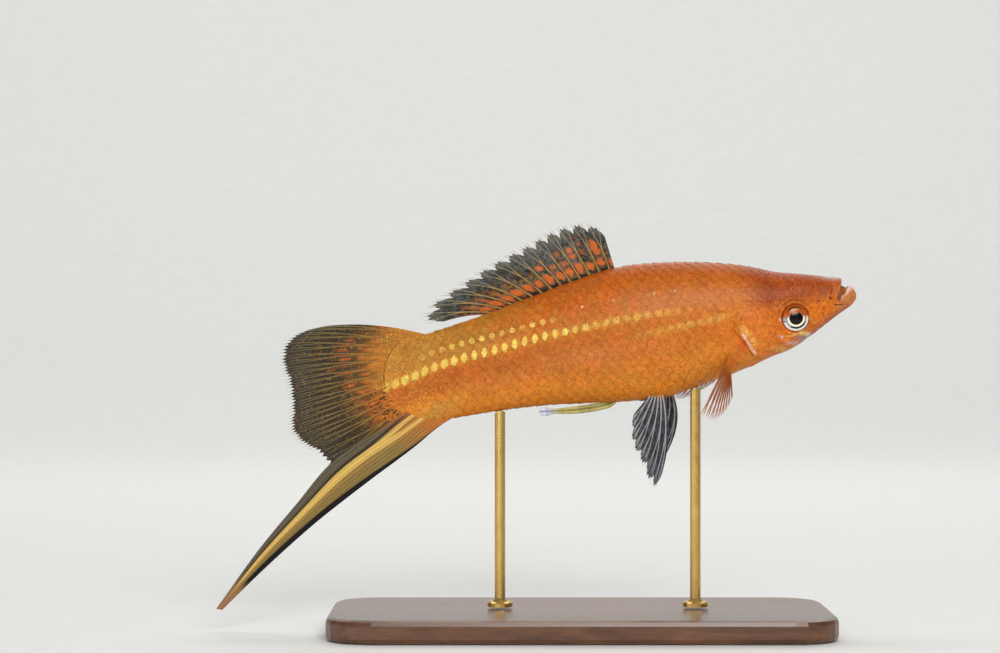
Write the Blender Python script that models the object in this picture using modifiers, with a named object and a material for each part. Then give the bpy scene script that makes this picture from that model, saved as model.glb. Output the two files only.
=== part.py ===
"""A male swordtail, a small aquarium fish, in life size on a display stand.

Sizes are in millimetres. The fish is modelled level, in its own frame: "along" runs back from the
tip of its jaw, "side" runs to its left and "height" runs up. An empty then lifts it over the stand
and tips its nose up. The world's origin is the centre of the underside of the stand's base.
"""

import math
from bisect import bisect_right

import bmesh
import bpy
from mathutils import Vector

MM = 0.001
GAP = 0.3

SNOUT_X = 41.5
SNOUT_HEIGHT = 50.7
NOSE_UP = math.radians(10)

# Each row is a cross-section of the body: along, back, belly, half width, level of the widest
# place, and how full the section is above and below that level (2 is an ellipse, more is squarer).
SECTIONS = (
    (0.0, 0.25, -0.10, 0.60, 0.10, 2.2, 2.0),
    (0.5, 1.10, -1.15, 1.45, 0.10, 2.3, 2.0),
    (1.2, 1.85, -1.65, 1.95, 0.10, 2.4, 2.0),
    (2.2, 2.65, -2.05, 2.45, 0.10, 2.5, 2.0),
    (3.6, 3.20, -2.75, 2.95, 0.00, 2.6, 2.0),
    (5.5, 3.75, -3.75, 3.50, -0.30, 2.7, 2.0),
    (8.0, 4.45, -5.05, 4.10, -0.80, 2.7, 2.1),
    (11.4, 5.35, -6.50, 4.70, -1.20, 2.6, 2.1),
    (14.5, 6.60, -7.25, 5.05, -1.00, 2.4, 2.1),
    (18.0, 7.75, -8.15, 5.30, -0.50, 2.2, 2.1),
    (24.0, 9.10, -9.20, 5.50, 0.00, 2.1, 2.1),
    (31.0, 10.05, -10.35, 5.35, 0.20, 2.0, 2.1),
    (36.0, 10.15, -10.05, 5.00, 0.20, 2.0, 2.0),
    (43.0, 9.10, -9.15, 4.35, 0.10, 1.9, 2.0),
    (50.0, 7.75, -8.30, 3.55, -0.20, 1.9, 1.9),
    (57.0, 6.45, -7.95, 2.75, -0.60, 1.9, 1.9),
    (64.0, 5.45, -7.90, 1.85, -1.20, 1.8, 1.8),
    (69.0, 5.30, -7.90, 1.05, -1.30, 1.8, 1.8),
)

# The scaled body ends on an arc, where the tail fin grows from it.
TAIL_ARC_ALONG = 62.0
TAIL_ARC_REACH = 7.0
TAIL_ARC_LEVEL = -1.25
TAIL_ARC_HALF_HEIGHT = 7.15

HEAD_END = 16.9
TORSO_END = 46.0
RING_POINTS = 32

EYE_ALONG = 10.1
EYE_HEIGHT = -1.9
EYE_RADIUS = 2.1
EYE_DEPTH = 1.0
EYE_PROUD = 0.5
ORBIT_RIM = 0.26

# The mouth, seen from the side: its open corner, and the two lips from the middle to the corner.
LIP_TOP = (2.35, 2.42)
LIP_TOP_CORNER = (3.75, 0.20)
LIP_TOP_RADIUS = 0.42
LIP_LOW = (0.85, 1.18)
LIP_LOW_CORNER = (2.70, -0.72)
LIP_LOW_RADIUS = 0.30
JAW_WALL = 0.5
HINGE = ((3.95, -0.72), (4.35, -1.60), (5.00, -3.00), (5.30, -5.50))

NOSTRILS = ((4.3, 0.35, 0.26), (6.2, 0.15, 0.30))

# The gill cover's outline, seen from the side, and its thickness.
GILL_COVER = (
    (15.0, 1.30),
    (17.4, 1.25),
    (19.1, -0.60),
    (19.45, -2.30),
    (18.35, -3.90),
    (17.75, -5.20),
    (16.90, -6.55),
    (15.20, -6.75),
    (13.90, -5.60),
    (13.15, -3.60),
    (13.05, -1.20),
    (13.65, 0.60),
)
GILL_THICKNESS = 0.8
GILL_PROUD = 0.3

# The pectoral fins' tips, from the leading ray: share, along, side and height. The right fin is
# lowered and the left one folded back.
PECTORAL_TIPS = {
    "pectoral_fin_right": (
        (0, 26.9, 8.6, -13.3),
        (0.25, 25.6, 8.9, -14.3),
        (0.5, 24.3, 8.8, -14.3),
        (0.75, 22.9, 8.3, -13.4),
        (1, 21.4, 7.2, -11.6),
    ),
    "pectoral_fin_left": (
        (0, 29.6, 8.6, -10.4),
        (0.25, 28.9, 8.7, -11.2),
        (0.5, 27.4, 8.5, -11.2),
        (0.75, 25.3, 7.9, -10.6),
        (1, 22.9, 6.8, -9.6),
    ),
}

FIN_RAY = 0.72
FIN_WEB = 0.50

STAND_LENGTH = 75.0
STAND_WIDTH = 36.0
STAND_HEIGHT = 3.5
STAND_CORNER = 7.0
STAND_EDGE = 0.8
ROD_RADIUS = 0.8
COLLAR_RADIUS = 1.9
COLLAR_HEIGHT = 0.8
ROD_X = {"stand_rod_front": 17.3, "stand_rod_rear": -12.0}
ROD_TOP = 44.0

RED_ORANGE = (0.72, 0.16, 0.035)
BRONZE = (0.45, 0.20, 0.07)
OLIVE = (0.24, 0.20, 0.08)
CLEAR_ORANGE = (0.62, 0.33, 0.14)
SILVER_BLUE = (0.52, 0.54, 0.52)
EYE_BLACK = (0.02, 0.02, 0.02)
WALNUT = (0.12, 0.05, 0.025)
BRASS = (0.60, 0.43, 0.18)


def read_curve(stations, values, place):
    """Reads a smooth curve through the values (numbers or vectors) at the rising stations."""
    place = min(max(place, stations[0]), stations[-1])
    last = len(stations) - 1
    left = min(bisect_right(stations, place) - 1, last - 1)

    def slope(knot):
        before = max(knot - 1, 0)
        after = min(knot + 1, last)
        return (values[after] - values[before]) / (stations[after] - stations[before])

    span = stations[left + 1] - stations[left]
    part = (place - stations[left]) / span
    swell = part * part * (3 - 2 * part)
    start = slope(left) * (part * (1 - part) ** 2 * span)
    finish = slope(left + 1) * (part * part * (1 - part) * span)
    return values[left] * (1 - swell) + values[left + 1] * swell + start - finish


# The square root spreads the stations out near the snout, which makes it round.
ROOT_STATIONS = [math.sqrt(row[0]) for row in SECTIONS]
COLUMNS = [[row[column] for row in SECTIONS] for column in range(1, 7)]


def section(along, grow=0.0):
    """Gives the back, belly, half width, widest level and two fullnesses at one place."""
    root = math.sqrt(max(along, 0.0))
    back, belly, half_width, level, above, below = (
        read_curve(ROOT_STATIONS, values, root) for values in COLUMNS
    )
    return back + grow, belly - grow, half_width + grow, level, above, below


def body_point(along, turn, grow=0.0):
    """Gives a point on the body's skin; turn runs from the back (0) down the left side to the belly (pi)."""
    back, belly, half_width, level, above, below = section(along, grow)
    rise = math.cos(turn)
    reach = math.sin(turn)
    fullness = above if rise > 0 else below
    tall = back - level if rise > 0 else level - belly
    height = level + math.copysign(abs(rise) ** (2 / fullness) * tall, rise)
    side = math.copysign(abs(reach) ** (2 / fullness) * half_width, reach)
    return Vector((along, side, height))


def body_side(along, height, grow=0.0):
    """Gives how far the skin stands from the middle at one place and height."""
    back, belly, half_width, level, above, below = section(along, grow)
    fullness = above if height > level else below
    tall = back - level if height > level else level - belly
    share = min(abs(height - level) / tall, 1.0)
    return half_width * (1 - share**fullness) ** (1 / fullness)


def body_underside(along, side):
    """Gives the belly's height at one place, off to one side."""
    _, belly, half_width, level, _, below = section(along)
    share = min(abs(side) / half_width, 1.0)
    return level - (level - belly) * (1 - share**below) ** (1 / below)


def tail_arc(height):
    """Gives where along the fish the scaled body ends, at one height."""
    share = min(abs(height - TAIL_ARC_LEVEL) / TAIL_ARC_HALF_HEIGHT, 1.0)
    return TAIL_ARC_ALONG + TAIL_ARC_REACH * math.sqrt(1 - share * share)


def to_local(point):
    """Turns a point of the fish, in millimetres, into its place under the fish's empty."""
    along, side, height = point
    return Vector((-along, side, height)) * MM


def clear_scene():
    for thing in list(bpy.data.objects):
        bpy.data.objects.remove(thing, do_unlink=True)


def make_collection(name):
    collection = bpy.data.collections.new(name)
    bpy.context.scene.collection.children.link(collection)
    return collection


def make_material(name, colour, roughness, metallic=0.0):
    material = bpy.data.materials.new(name)
    material.use_nodes = True
    shader = material.node_tree.nodes["Principled BSDF"]
    shader.inputs["Base Color"].default_value = (*colour, 1.0)
    shader.inputs["Roughness"].default_value = roughness
    shader.inputs["Metallic"].default_value = metallic
    return material


def make_object(name, mesh, collection, parent=None, material=None):
    thing = bpy.data.objects.new(name, mesh)
    collection.objects.link(thing)
    thing.parent = parent
    if material:
        mesh.materials.append(material)
    return thing


def make_guide(name, mesh, collection, parent=None):
    """Makes an object that only cuts or shapes another."""
    thing = make_object(name, mesh, collection, parent)
    thing.hide_render = True
    thing.display_type = "WIRE"
    return thing


def shade(mesh, angle=40):
    mesh.shade_smooth()
    mesh.set_sharp_from_angle(angle=math.radians(angle))


def add_boolean(thing, operation, tool):
    """Cuts, joins or trims an object with one object or with all of a collection."""
    modifier = thing.modifiers.new(operation.title(), "BOOLEAN")
    modifier.operation = operation
    modifier.solver = "EXACT"
    if isinstance(tool, bpy.types.Collection):
        modifier.operand_type = "COLLECTION"
        modifier.collection = tool
    else:
        modifier.object = tool


def mesh_from(build, name):
    mesh = bpy.data.meshes.new(name)
    shape = bmesh.new()
    build(shape)
    shape.normal_update()
    bmesh.ops.recalc_face_normals(shape, faces=shape.faces)
    shape.to_mesh(mesh)
    shape.free()
    return mesh


def loft_mesh(name, rings):
    """Joins rings of points into one closed skin, with a flat cap on each end."""

    def build(shape):
        loops = [[shape.verts.new(to_local(point)) for point in ring] for ring in rings]
        for front, behind in zip(loops, loops[1:]):
            for index, corner in enumerate(front):
                after = (index + 1) % len(front)
                shape.faces.new((corner, behind[index], behind[after], front[after]))
        for loop in (loops[0], loops[-1]):
            middle = sum((corner.co for corner in loop), Vector()) / len(loop)
            hub = shape.verts.new(middle)
            for index, corner in enumerate(loop):
                shape.faces.new((corner, loop[(index + 1) % len(loop)], hub))
        bmesh.ops.triangulate(shape, faces=shape.faces)

    return mesh_from(build, name)


def body_mesh(name, start, end, steps, grow=0.0, power=1.0, points=RING_POINTS):
    """Lofts a length of the body; a power over 1 sets the rings closer towards the snout."""
    rings = []
    for step in range(steps + 1):
        along = start + (end - start) * (step / steps) ** power
        turns = (2 * math.pi * index / points for index in range(points))
        rings.append([body_point(along, turn, grow) for turn in turns])
    return loft_mesh(name, rings)


def prism_mesh(name, outline, half_width):
    """Makes a flat-sided cutter from an outline seen from the side."""

    def build(shape):
        corners = [shape.verts.new(to_local((along, -half_width, height))) for along, height in outline]
        face = shape.faces.new(corners)
        swept = bmesh.ops.extrude_face_region(shape, geom=[face])
        moved = [item for item in swept["geom"] if isinstance(item, bmesh.types.BMVert)]
        bmesh.ops.translate(shape, verts=moved, vec=(0, 2 * half_width * MM, 0))

    return mesh_from(build, name)


def ball_mesh(name, centre, radii, segments=20, rings=10):
    """Makes an egg shape with its poles pointing sideways."""

    def build(shape):
        bmesh.ops.create_uvsphere(shape, u_segments=segments, v_segments=rings, radius=1.0)
        for corner in shape.verts:
            across, up, out = corner.co
            place = (centre[0] + across * radii[0], centre[1] + out * radii[1], centre[2] + up * radii[2])
            corner.co = to_local(place)

    return mesh_from(build, name)


def tube_object(name, points, radius, collection, parent, sides=3, ends=1.0):
    """Makes a closed tube along points of the fish; its ends may be thinner."""
    curve = bpy.data.curves.new(name, "CURVE")
    curve.dimensions = "3D"
    curve.bevel_depth = radius * MM
    curve.bevel_resolution = sides
    curve.use_fill_caps = True
    spline = curve.splines.new("POLY")
    spline.points.add(len(points) - 1)
    for index, (place, point) in enumerate(zip(spline.points, points)):
        place.co = (*to_local(point), 1.0)
        share = index / (len(points) - 1)
        place.radius = 1 - (1 - ends) * abs(2 * share - 1) ** 2
    line = make_object(name + "_line", curve, collection, parent)
    bpy.context.view_layer.update()
    mesh = bpy.data.meshes.new_from_object(line.evaluated_get(bpy.context.evaluated_depsgraph_get()))
    bpy.data.objects.remove(line)
    shape = bmesh.new()
    shape.from_mesh(mesh)
    bmesh.ops.remove_doubles(shape, verts=shape.verts, dist=1e-7)
    shape.normal_update()
    bmesh.ops.recalc_face_normals(shape, faces=shape.faces)
    shape.to_mesh(mesh)
    shape.free()
    return make_guide(name, mesh, collection, parent)


def lip_points(middle, corner, steps=9):
    """Follows a lip from one corner of the mouth over the middle to the other."""
    reach = body_side(*corner) - 0.1
    points = []
    for step in range(-steps, steps + 1):
        turn = step / steps * math.pi / 2
        share = 1 - math.cos(turn)
        along = middle[0] + (corner[0] - middle[0]) * share
        height = middle[1] + (corner[1] - middle[1]) * share
        points.append((along, reach * math.sin(turn), height))
    return points


def settle(thing, keep_largest=True):
    """Applies an object's modifiers and keeps its largest closed surface."""
    bpy.context.view_layer.update()
    mesh = bpy.data.meshes.new_from_object(thing.evaluated_get(bpy.context.evaluated_depsgraph_get()))
    thing.modifiers.clear()
    thing.data = mesh
    if keep_largest:
        shape = bmesh.new()
        shape.from_mesh(mesh)
        left = set(shape.verts)
        pieces = []
        while left:
            piece = {left.pop()}
            edge = list(piece)
            while edge:
                corner = edge.pop()
                for line in corner.link_edges:
                    other = line.other_vert(corner)
                    if other in left:
                        left.discard(other)
                        piece.add(other)
                        edge.append(other)
            pieces.append(piece)
        pieces.sort(key=len)
        for piece in pieces[:-1]:
            bmesh.ops.delete(shape, geom=list(piece), context="VERTS")
        shape.to_mesh(mesh)
        shape.free()


def gill_sheet(name, side, depth, thickness, grow, collection, parent):
    """Drapes the gill cover's outline over the skin, thickens it and gives it back as an object."""
    middle_along = sum(point[0] for point in GILL_COVER) / len(GILL_COVER)
    middle_height = sum(point[1] for point in GILL_COVER) / len(GILL_COVER)
    closed = [Vector(point) for point in (*GILL_COVER, GILL_COVER[0])]
    stations = list(range(len(closed)))
    sectors = 24
    rings = 4

    def place(ring, sector):
        edge = read_curve(stations, closed, sector / sectors * (len(closed) - 1))
        out = edge - Vector((middle_along, middle_height))
        out *= (ring / rings) * (1 + grow / out.length)
        along = middle_along + out.x
        height = middle_height + out.y
        return to_local((along, side * (body_side(along, height, depth)), height))

    def build(shape):
        hub = shape.verts.new(place(0, 0))
        loops = []
        for ring in range(1, rings + 1):
            loops.append([shape.verts.new(place(ring, sector)) for sector in range(sectors)])
        for sector in range(sectors):
            after = (sector + 1) % sectors
            shape.faces.new((hub, loops[0][sector], loops[0][after]))
            for inner, outer in zip(loops, loops[1:]):
                shape.faces.new((inner[sector], outer[sector], outer[after], inner[after]))
        bmesh.ops.triangulate(shape, faces=shape.faces)

    thing = make_object(name, mesh_from(build, name), collection, parent)
    thicken = thing.modifiers.new("Solidify", "SOLIDIFY")
    thicken.thickness = thickness * MM
    thicken.offset = 0
    return thing


def fin_object(name, root, tip, rays, rows, collection, parent, bow=None, ray=FIN_RAY, web=FIN_WEB, fringe=0.05):
    """Makes a fin from its root and tip lines, each a function of the share from front to rear.

    Each ray is a ridge that forks half way out. The web between the rays is thinner and shorter.
    """
    across = rays * 4
    sheet = bmesh.new()
    groups = []
    grid = []
    for column in range(across + 1):
        share = column / across
        phase = column % 4
        edge = column in (0, across)
        start = root(share)
        reach = tip(share) - start
        if phase == 0 and not edge:
            reach = reach * (1 - fringe)
        line = []
        for row in range(rows + 1):
            out = row / rows
            place = start + reach * out
            if bow:
                place = place + bow(share, out)
            line.append(sheet.verts.new(to_local(place)))
            fork = min(max((out - 0.35) / 0.25, 0.0), 1.0)
            ridge = {0: 0.0, 1: fork, 2: 1 - fork, 3: fork}[phase]
            if edge:
                ridge = 1.0
            groups.append((web + (ray - web) * ridge) / ray)
        grid.append(line)
    for front, behind in zip(grid, grid[1:]):
        for row in range(rows):
            sheet.faces.new((front[row], behind[row], behind[row + 1]))
            sheet.faces.new((front[row], behind[row + 1], front[row + 1]))
    mesh = bpy.data.meshes.new(name)
    sheet.to_mesh(mesh)
    sheet.free()
    thing = make_object(name, mesh, collection, parent)
    group = thing.vertex_groups.new(name="ray")
    for index, weight in enumerate(groups):
        group.add([index], weight, "REPLACE")
    thicken = thing.modifiers.new("Solidify", "SOLIDIFY")
    thicken.thickness = ray * MM
    thicken.offset = 0
    thicken.vertex_group = "ray"
    return thing


def line_through(*points):
    """Gives a smooth line through points, each with its share from 0 to 1 first."""
    stations = [point[0] for point in points]
    places = [Vector(point[1:]) for point in points]
    return lambda share: read_curve(stations, places, share)


sword_top = line_through(
    (0, 66.3, 0, -4.0),
    (0.2, 74.4, 0, -7.7),
    (0.4, 81.9, 0, -11.2),
    (0.6, 88.3, 0, -16.5),
    (0.8, 95.2, 0.3, -22.4),
    (1, 102.9, 0.8, -29.9),
)


def make_head(parts, cutters, fish, body):
    """The head down to the gill openings, with the upper jaw, the mouth's lining, orbits and nostrils."""
    head = make_object("head", body_mesh("head", 0.08, HEAD_END, 20, power=1.4), parts, fish, body)
    front = (-1.0, 5.5), (1.55, 5.5), (1.75, 3.2), LIP_TOP, LIP_TOP_CORNER, *HINGE, (5.3, -8.0), (-1.0, -8.0)
    add_boolean(head, "DIFFERENCE", make_guide("mouth_cutter", prism_mesh("mouth_cutter", front, 9), cutters, fish))
    lining = make_guide("mouth_lining", body_mesh("mouth_lining", 0.9, 7.0, 6, -JAW_WALL - GAP, points=16), cutters, fish)
    add_boolean(head, "UNION", lining)
    lip = tube_object("upper_lip", lip_points(LIP_TOP, LIP_TOP_CORNER), LIP_TOP_RADIUS, cutters, fish, 2, 0.8)
    add_boolean(head, "UNION", lip)
    hollow = ball_mesh("mouth_hollow", (2.1, 0.0, 1.3), (1.0, 1.55, 1.0), 16, 10)
    add_boolean(head, "DIFFERENCE", make_guide("mouth_hollow", hollow, cutters, fish))
    for side in (-1, 1):
        skin = side * (body_side(EYE_ALONG, EYE_HEIGHT) + EYE_PROUD - EYE_DEPTH)
        rim = []
        for step in range(20):
            turn = 2 * math.pi * step / 20
            along = EYE_ALONG + (EYE_RADIUS + GAP) * math.cos(turn)
            height = EYE_HEIGHT + (EYE_RADIUS + GAP) * math.sin(turn)
            rim.append((along, side * (body_side(along, height) - 0.05), height))
        name = "orbit_left" if side > 0 else "orbit_right"
        add_boolean(head, "UNION", ring_object(name, rim, ORBIT_RIM, cutters, fish))
        radii = (EYE_RADIUS + GAP, EYE_DEPTH + GAP, EYE_RADIUS + GAP)
        socket = ball_mesh(name + "_socket", (EYE_ALONG, skin, EYE_HEIGHT), radii)
        add_boolean(head, "DIFFERENCE", make_guide(name + "_socket", socket, cutters, fish))
        for number, (along, height, radius) in enumerate(NOSTRILS):
            place = (along, side * body_side(along, height), height)
            hole = ball_mesh(f"{name}_nostril_{number}", place, (radius, 0.4, radius), 8, 6)
            add_boolean(head, "DIFFERENCE", make_guide(f"{name}_nostril_{number}", hole, cutters, fish))
    return head


def ring_object(name, points, radius, collection, parent, sides=5):
    """Makes a closed ring of tube through points."""

    def build(shape):
        count = len(points)
        places = [to_local(point) for point in points]
        loops = []
        for index, place in enumerate(places):
            ahead = (places[(index + 1) % count] - places[index - 1]).normalized()
            out = ahead.cross(Vector((0, 1, 0))).normalized()
            up = ahead.cross(out)
            turns = (2 * math.pi * step / sides for step in range(sides))
            loops.append(
                [shape.verts.new(place + (out * math.cos(t) + up * math.sin(t)) * radius * MM) for t in turns]
            )
        for index, loop in enumerate(loops):
            behind = loops[(index + 1) % count]
            for step in range(sides):
                after = (step + 1) % sides
                shape.faces.new((loop[step], behind[step], behind[after], loop[after]))

    return make_guide(name, mesh_from(build, name), collection, parent)


def make_lower_jaw(parts, cutters, fish, skin):
    """The lower jaw, a scoop with a lip along its edge."""
    jaw = make_object("lower_jaw", body_mesh("lower_jaw", 0.05, 7.0, 13, power=1.6), parts, fish, skin)
    hinge = [(along - GAP * 1.1, height - GAP * 0.6) for along, height in HINGE]
    rim = (-1.0, 3.3), LIP_LOW, LIP_LOW_CORNER, *hinge, (5.0, -8.0), (-1.0, -8.0)
    add_boolean(jaw, "INTERSECT", make_guide("jaw_cutter", prism_mesh("jaw_cutter", rim, 9), cutters, fish))
    inside = make_guide("jaw_inside", body_mesh("jaw_inside", 0.6, 8.0, 7, -JAW_WALL, points=16), cutters, fish)
    add_boolean(jaw, "DIFFERENCE", inside)
    lip = tube_object("lower_lip", lip_points(LIP_LOW, LIP_LOW_CORNER), LIP_LOW_RADIUS, cutters, fish, 2, 0.8)
    add_boolean(jaw, "UNION", lip)
    return jaw


def make_eyes(parts, fish, black):
    for side, name in ((-1, "eye_right"), (1, "eye_left")):
        skin = side * (body_side(EYE_ALONG, EYE_HEIGHT) + EYE_PROUD - EYE_DEPTH)
        ball = ball_mesh(name, (EYE_ALONG, skin, EYE_HEIGHT), (EYE_RADIUS, EYE_DEPTH, EYE_RADIUS))
        shade(ball)
        make_object(name, ball, parts, fish, black)


def make_gill_covers(parts, cutters, fish, skin):
    """A plate on each cheek, and the recess that it lies in."""
    recesses = []
    for side, name in ((-1, "gill_cover_right"), (1, "gill_cover_left")):
        depth = GILL_PROUD - GILL_THICKNESS / 2
        cover = gill_sheet(name, side, depth, GILL_THICKNESS, 0.0, parts, fish)
        cover.data.materials.append(skin)
        room = GAP + 0.12
        outer = GILL_PROUD + 1.0
        inner = GILL_PROUD - GILL_THICKNESS - room
        middle = (outer + inner) / 2
        recess = gill_sheet(name + "_recess", side, middle, outer - inner, room, cutters, fish)
        recess.hide_render = True
        recess.display_type = "WIRE"
        recesses.append(recess)
    return recesses


def make_body(parts, cutters, fish, skin, rear_skin):
    """The torso and the tail stem, which ends on an arc."""
    torso = make_object("torso", body_mesh("torso", HEAD_END + GAP, TORSO_END, 15), parts, fish, skin)
    stem_mesh = body_mesh("tail_stem", TORSO_END + GAP, TAIL_ARC_ALONG + TAIL_ARC_REACH + 1, 12)
    stem = make_object("tail_stem", stem_mesh, parts, fish, rear_skin)
    outline = [(40.0, 12.0), (TAIL_ARC_ALONG, 12.0)]
    outline += [(tail_arc(level / 2), level / 2) for level in range(11, -17, -1)]
    outline += [(TAIL_ARC_ALONG, -14.0), (40.0, -14.0)]
    add_boolean(stem, "INTERSECT", make_guide("tail_cutter", prism_mesh("tail_cutter", outline, 9), cutters, fish))
    return torso, stem


def make_dorsal_fin(parts, fish):
    root = line_through((0, 35.0, 0, 9.3), (0.5, 46.0, 0, 7.8), (1, 57.6, 0, 5.6))
    tip = line_through(
        (0, 35.9, 0, 16.4),
        (0.08, 38.6, 0.2, 17.8),
        (0.22, 42.8, 0.4, 17.7),
        (0.42, 48.1, 0.1, 15.9),
        (0.60, 53.6, -0.4, 14.0),
        (0.76, 58.8, -0.5, 11.7),
        (0.90, 63.8, -0.1, 9.3),
        (0.96, 64.8, 0.1, 7.6),
        (1, 63.9, 0.2, 6.3),
    )

    def bow(share, out):
        belly = out * (1 - out)
        return Vector((-1.6 * share * belly, 0.5 * math.sin(7 * share) * out * out, 2.4 * share * belly))

    return fin_object("dorsal_fin", root, tip, 13, 5, parts, fish, bow)


def make_tail_fin(parts, cutters, fish):
    """The tail fin's fan, trimmed along the sword's upper edge."""

    def root(share):
        height = 5.1 - 9.3 * share
        return Vector((tail_arc(height) + GAP, 0.0, height))

    tip = line_through(
        (0, 80.0, 0.3, 9.1),
        (0.08, 83.6, 0.4, 8.8),
        (0.17, 86.2, 0.5, 7.4),
        (0.28, 87.1, 0.5, 4.8),
        (0.42, 86.6, 0.3, 1.6),
        (0.58, 86.8, 0.0, -2.2),
        (0.72, 87.4, -0.3, -5.4),
        (0.84, 86.0, -0.4, -7.8),
        (0.92, 84.2, -0.3, -9.2),
        (1, 82.4, 0.0, -11.9),
    )

    def bow(share, out):
        belly = out * (1 - out)
        return Vector((0.0, 0.6 * math.sin(3 + 4 * share) * out * out, 3.4 * (1 - 1.6 * share) * belly))

    fan = fin_object("tail_fin", root, tip, 12, 6, parts, fish, bow, fringe=0.035)
    edge = [sword_top(step / 20) for step in range(11)]
    outline = [(point.x + GAP * 0.5, point.z + GAP) for point in edge]
    outline = [(60.0, outline[0][1] + 2.0), *outline, (95.0, outline[-1][1]), (95.0, 14.0), (60.0, 14.0)]
    add_boolean(fan, "INTERSECT", make_guide("fan_cutter", prism_mesh("fan_cutter", outline, 5), cutters, fish))
    settle(fan)
    return fan


def make_sword(parts, fish):
    """The long lowest rays of the tail fin, in one blade."""
    low = line_through(
        (0, 64.6, 0, -8.1),
        (0.2, 69.5, 0, -11.2),
        (0.4, 77.6, 0, -15.3),
        (0.6, 86.0, 0, -19.8),
        (0.8, 94.2, 0.3, -24.9),
        (1, 102.0, 0.8, -30.2),
    )
    across = 6
    rows = 16
    sheet = bmesh.new()
    grid = []
    weights = []
    for column in range(across + 1):
        share = column / across
        line = []
        for row in range(rows + 1):
            out = row / rows
            place = sword_top(out).lerp(low(out), share)
            if row == 0:
                place.x = tail_arc(place.z) + GAP
            line.append(sheet.verts.new(to_local(place)))
            ridge = 1.0 if column % 2 == 0 else 0.75
            weights.append(ridge * (1 - 0.42 * out))
        grid.append(line)
    for front, behind in zip(grid, grid[1:]):
        for row in range(rows):
            sheet.faces.new((front[row], behind[row], behind[row + 1]))
            sheet.faces.new((front[row], behind[row + 1], front[row + 1]))
    mesh = bpy.data.meshes.new("sword")
    sheet.to_mesh(mesh)
    sheet.free()
    sword = make_object("sword", mesh, parts, fish)
    group = sword.vertex_groups.new(name="ray")
    for index, weight in enumerate(weights):
        group.add([index], weight, "REPLACE")
    thicken = sword.modifiers.new("Solidify", "SOLIDIFY")
    thicken.thickness = 1.0 * MM
    thicken.offset = 0
    thicken.vertex_group = "ray"
    return sword


def make_paired_fins(parts, fish):
    """The pectoral fins behind the gill covers and the pelvic fins under the belly."""
    fins = []
    for side, name in ((-1, "pectoral_fin_right"), (1, "pectoral_fin_left")):
        def pectoral_root(share, side=side):
            along = 19.9 + 0.9 * share
            height = -4.7 - 3.0 * share
            return Vector((along, side * (body_side(along, height) - 0.5), height))

        tips = PECTORAL_TIPS[name]
        tip = line_through(*((share, along, side * out, height) for share, along, out, height in tips))
        fins.append(fin_object(name, pectoral_root, tip, 7, 4, parts, fish, ray=0.62))
    for side, name in ((-1, "pelvic_fin_right"), (1, "pelvic_fin_left")):
        lean = 0.0 if side < 0 else 1.4

        def pelvic_root(share, side=side, lean=lean):
            along = 32.0 - lean + 2.4 * share
            return Vector((along, side * 1.6, body_underside(along, 1.6) + 0.7))

        tip = line_through(
            (0, 34.6 - lean, side * (2.6 + lean), -23.2 + 2.2 * lean),
            (0.15, 35.6 - lean, side * (2.8 + lean), -23.0 + 2.2 * lean),
            (0.4, 36.4 - lean, side * (2.9 + lean), -19.4 + 1.6 * lean),
            (0.7, 37.2 - lean, side * (2.7 + lean), -16.0 + lean),
            (1, 36.5 - lean, side * 2.2, -12.2),
        )

        def bow(share, out, lean=lean):
            return Vector((-(3.4 + lean) * (1 - share) * out * (1 - out) * 1.5, 0, 0))

        fins.append(fin_object(name, pelvic_root, tip, 6, 5, parts, fish, bow, ray=0.64))
    return fins


def make_gonopodium(parts, cutters, fish):
    """The rod that the male's anal fin has become, laid back under the belly."""
    points = line_through(
        (0, 38.3, 0, -9.3),
        (0.12, 39.6, 0, -9.95),
        (0.5, 44.0, 0, -9.95),
        (0.85, 48.2, 0, -9.45),
        (1, 49.8, 0, -9.15),
    )
    rod = tube_object("gonopodium", [points(step / 12) for step in range(13)], 0.43, parts, fish, 2, 0.75)
    rod.hide_render = False
    rod.display_type = "TEXTURED"
    return rod


def make_stand(parts, wood, brass, clearance):
    """A low base with bevelled edges and two rods that reach up to the belly."""

    def build(shape):
        bmesh.ops.create_cube(shape, size=1.0)
        for corner in shape.verts:
            across, deep, up = corner.co
            corner.co = (across * STAND_LENGTH * MM, deep * STAND_WIDTH * MM, (up + 0.5) * STAND_HEIGHT * MM)
        uprights = [edge for edge in shape.edges if abs(edge.verts[0].co.z - edge.verts[1].co.z) > MM]
        bmesh.ops.bevel(
            shape, geom=uprights, offset=STAND_CORNER * MM, segments=6, profile=0.5, affect="EDGES"
        )

    base = make_object("stand_base", mesh_from(build, "stand_base"), parts, material=wood)
    edge = base.modifiers.new("Bevel", "BEVEL")
    edge.width = STAND_EDGE * MM
    edge.segments = 2
    edge.limit_method = "ANGLE"
    edge.angle_limit = math.radians(60)
    foot = STAND_HEIGHT + GAP
    profile = (
        (0.0, ROD_TOP),
        (ROD_RADIUS, ROD_TOP),
        (ROD_RADIUS, foot + COLLAR_HEIGHT + 0.5),
        (ROD_RADIUS + 0.35, foot + COLLAR_HEIGHT),
        (COLLAR_RADIUS - 0.2, foot + COLLAR_HEIGHT),
        (COLLAR_RADIUS, foot + COLLAR_HEIGHT - 0.2),
        (COLLAR_RADIUS, foot),
        (0.0, foot),
    )
    for name, place in ROD_X.items():
        mesh = bpy.data.meshes.new(name)
        points = [(radius * MM, 0, height * MM) for radius, height in profile]
        mesh.from_pydata(points, [(index, index + 1) for index in range(len(points) - 1)], [])
        rod = make_object(name, mesh, parts, material=brass)
        rod.location.x = place * MM
        turn = rod.modifiers.new("Screw", "SCREW")
        turn.steps = 16
        turn.render_steps = 16
        turn.use_merge_vertices = True
        turn.merge_threshold = 1e-6
        add_boolean(rod, "DIFFERENCE", clearance)


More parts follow.
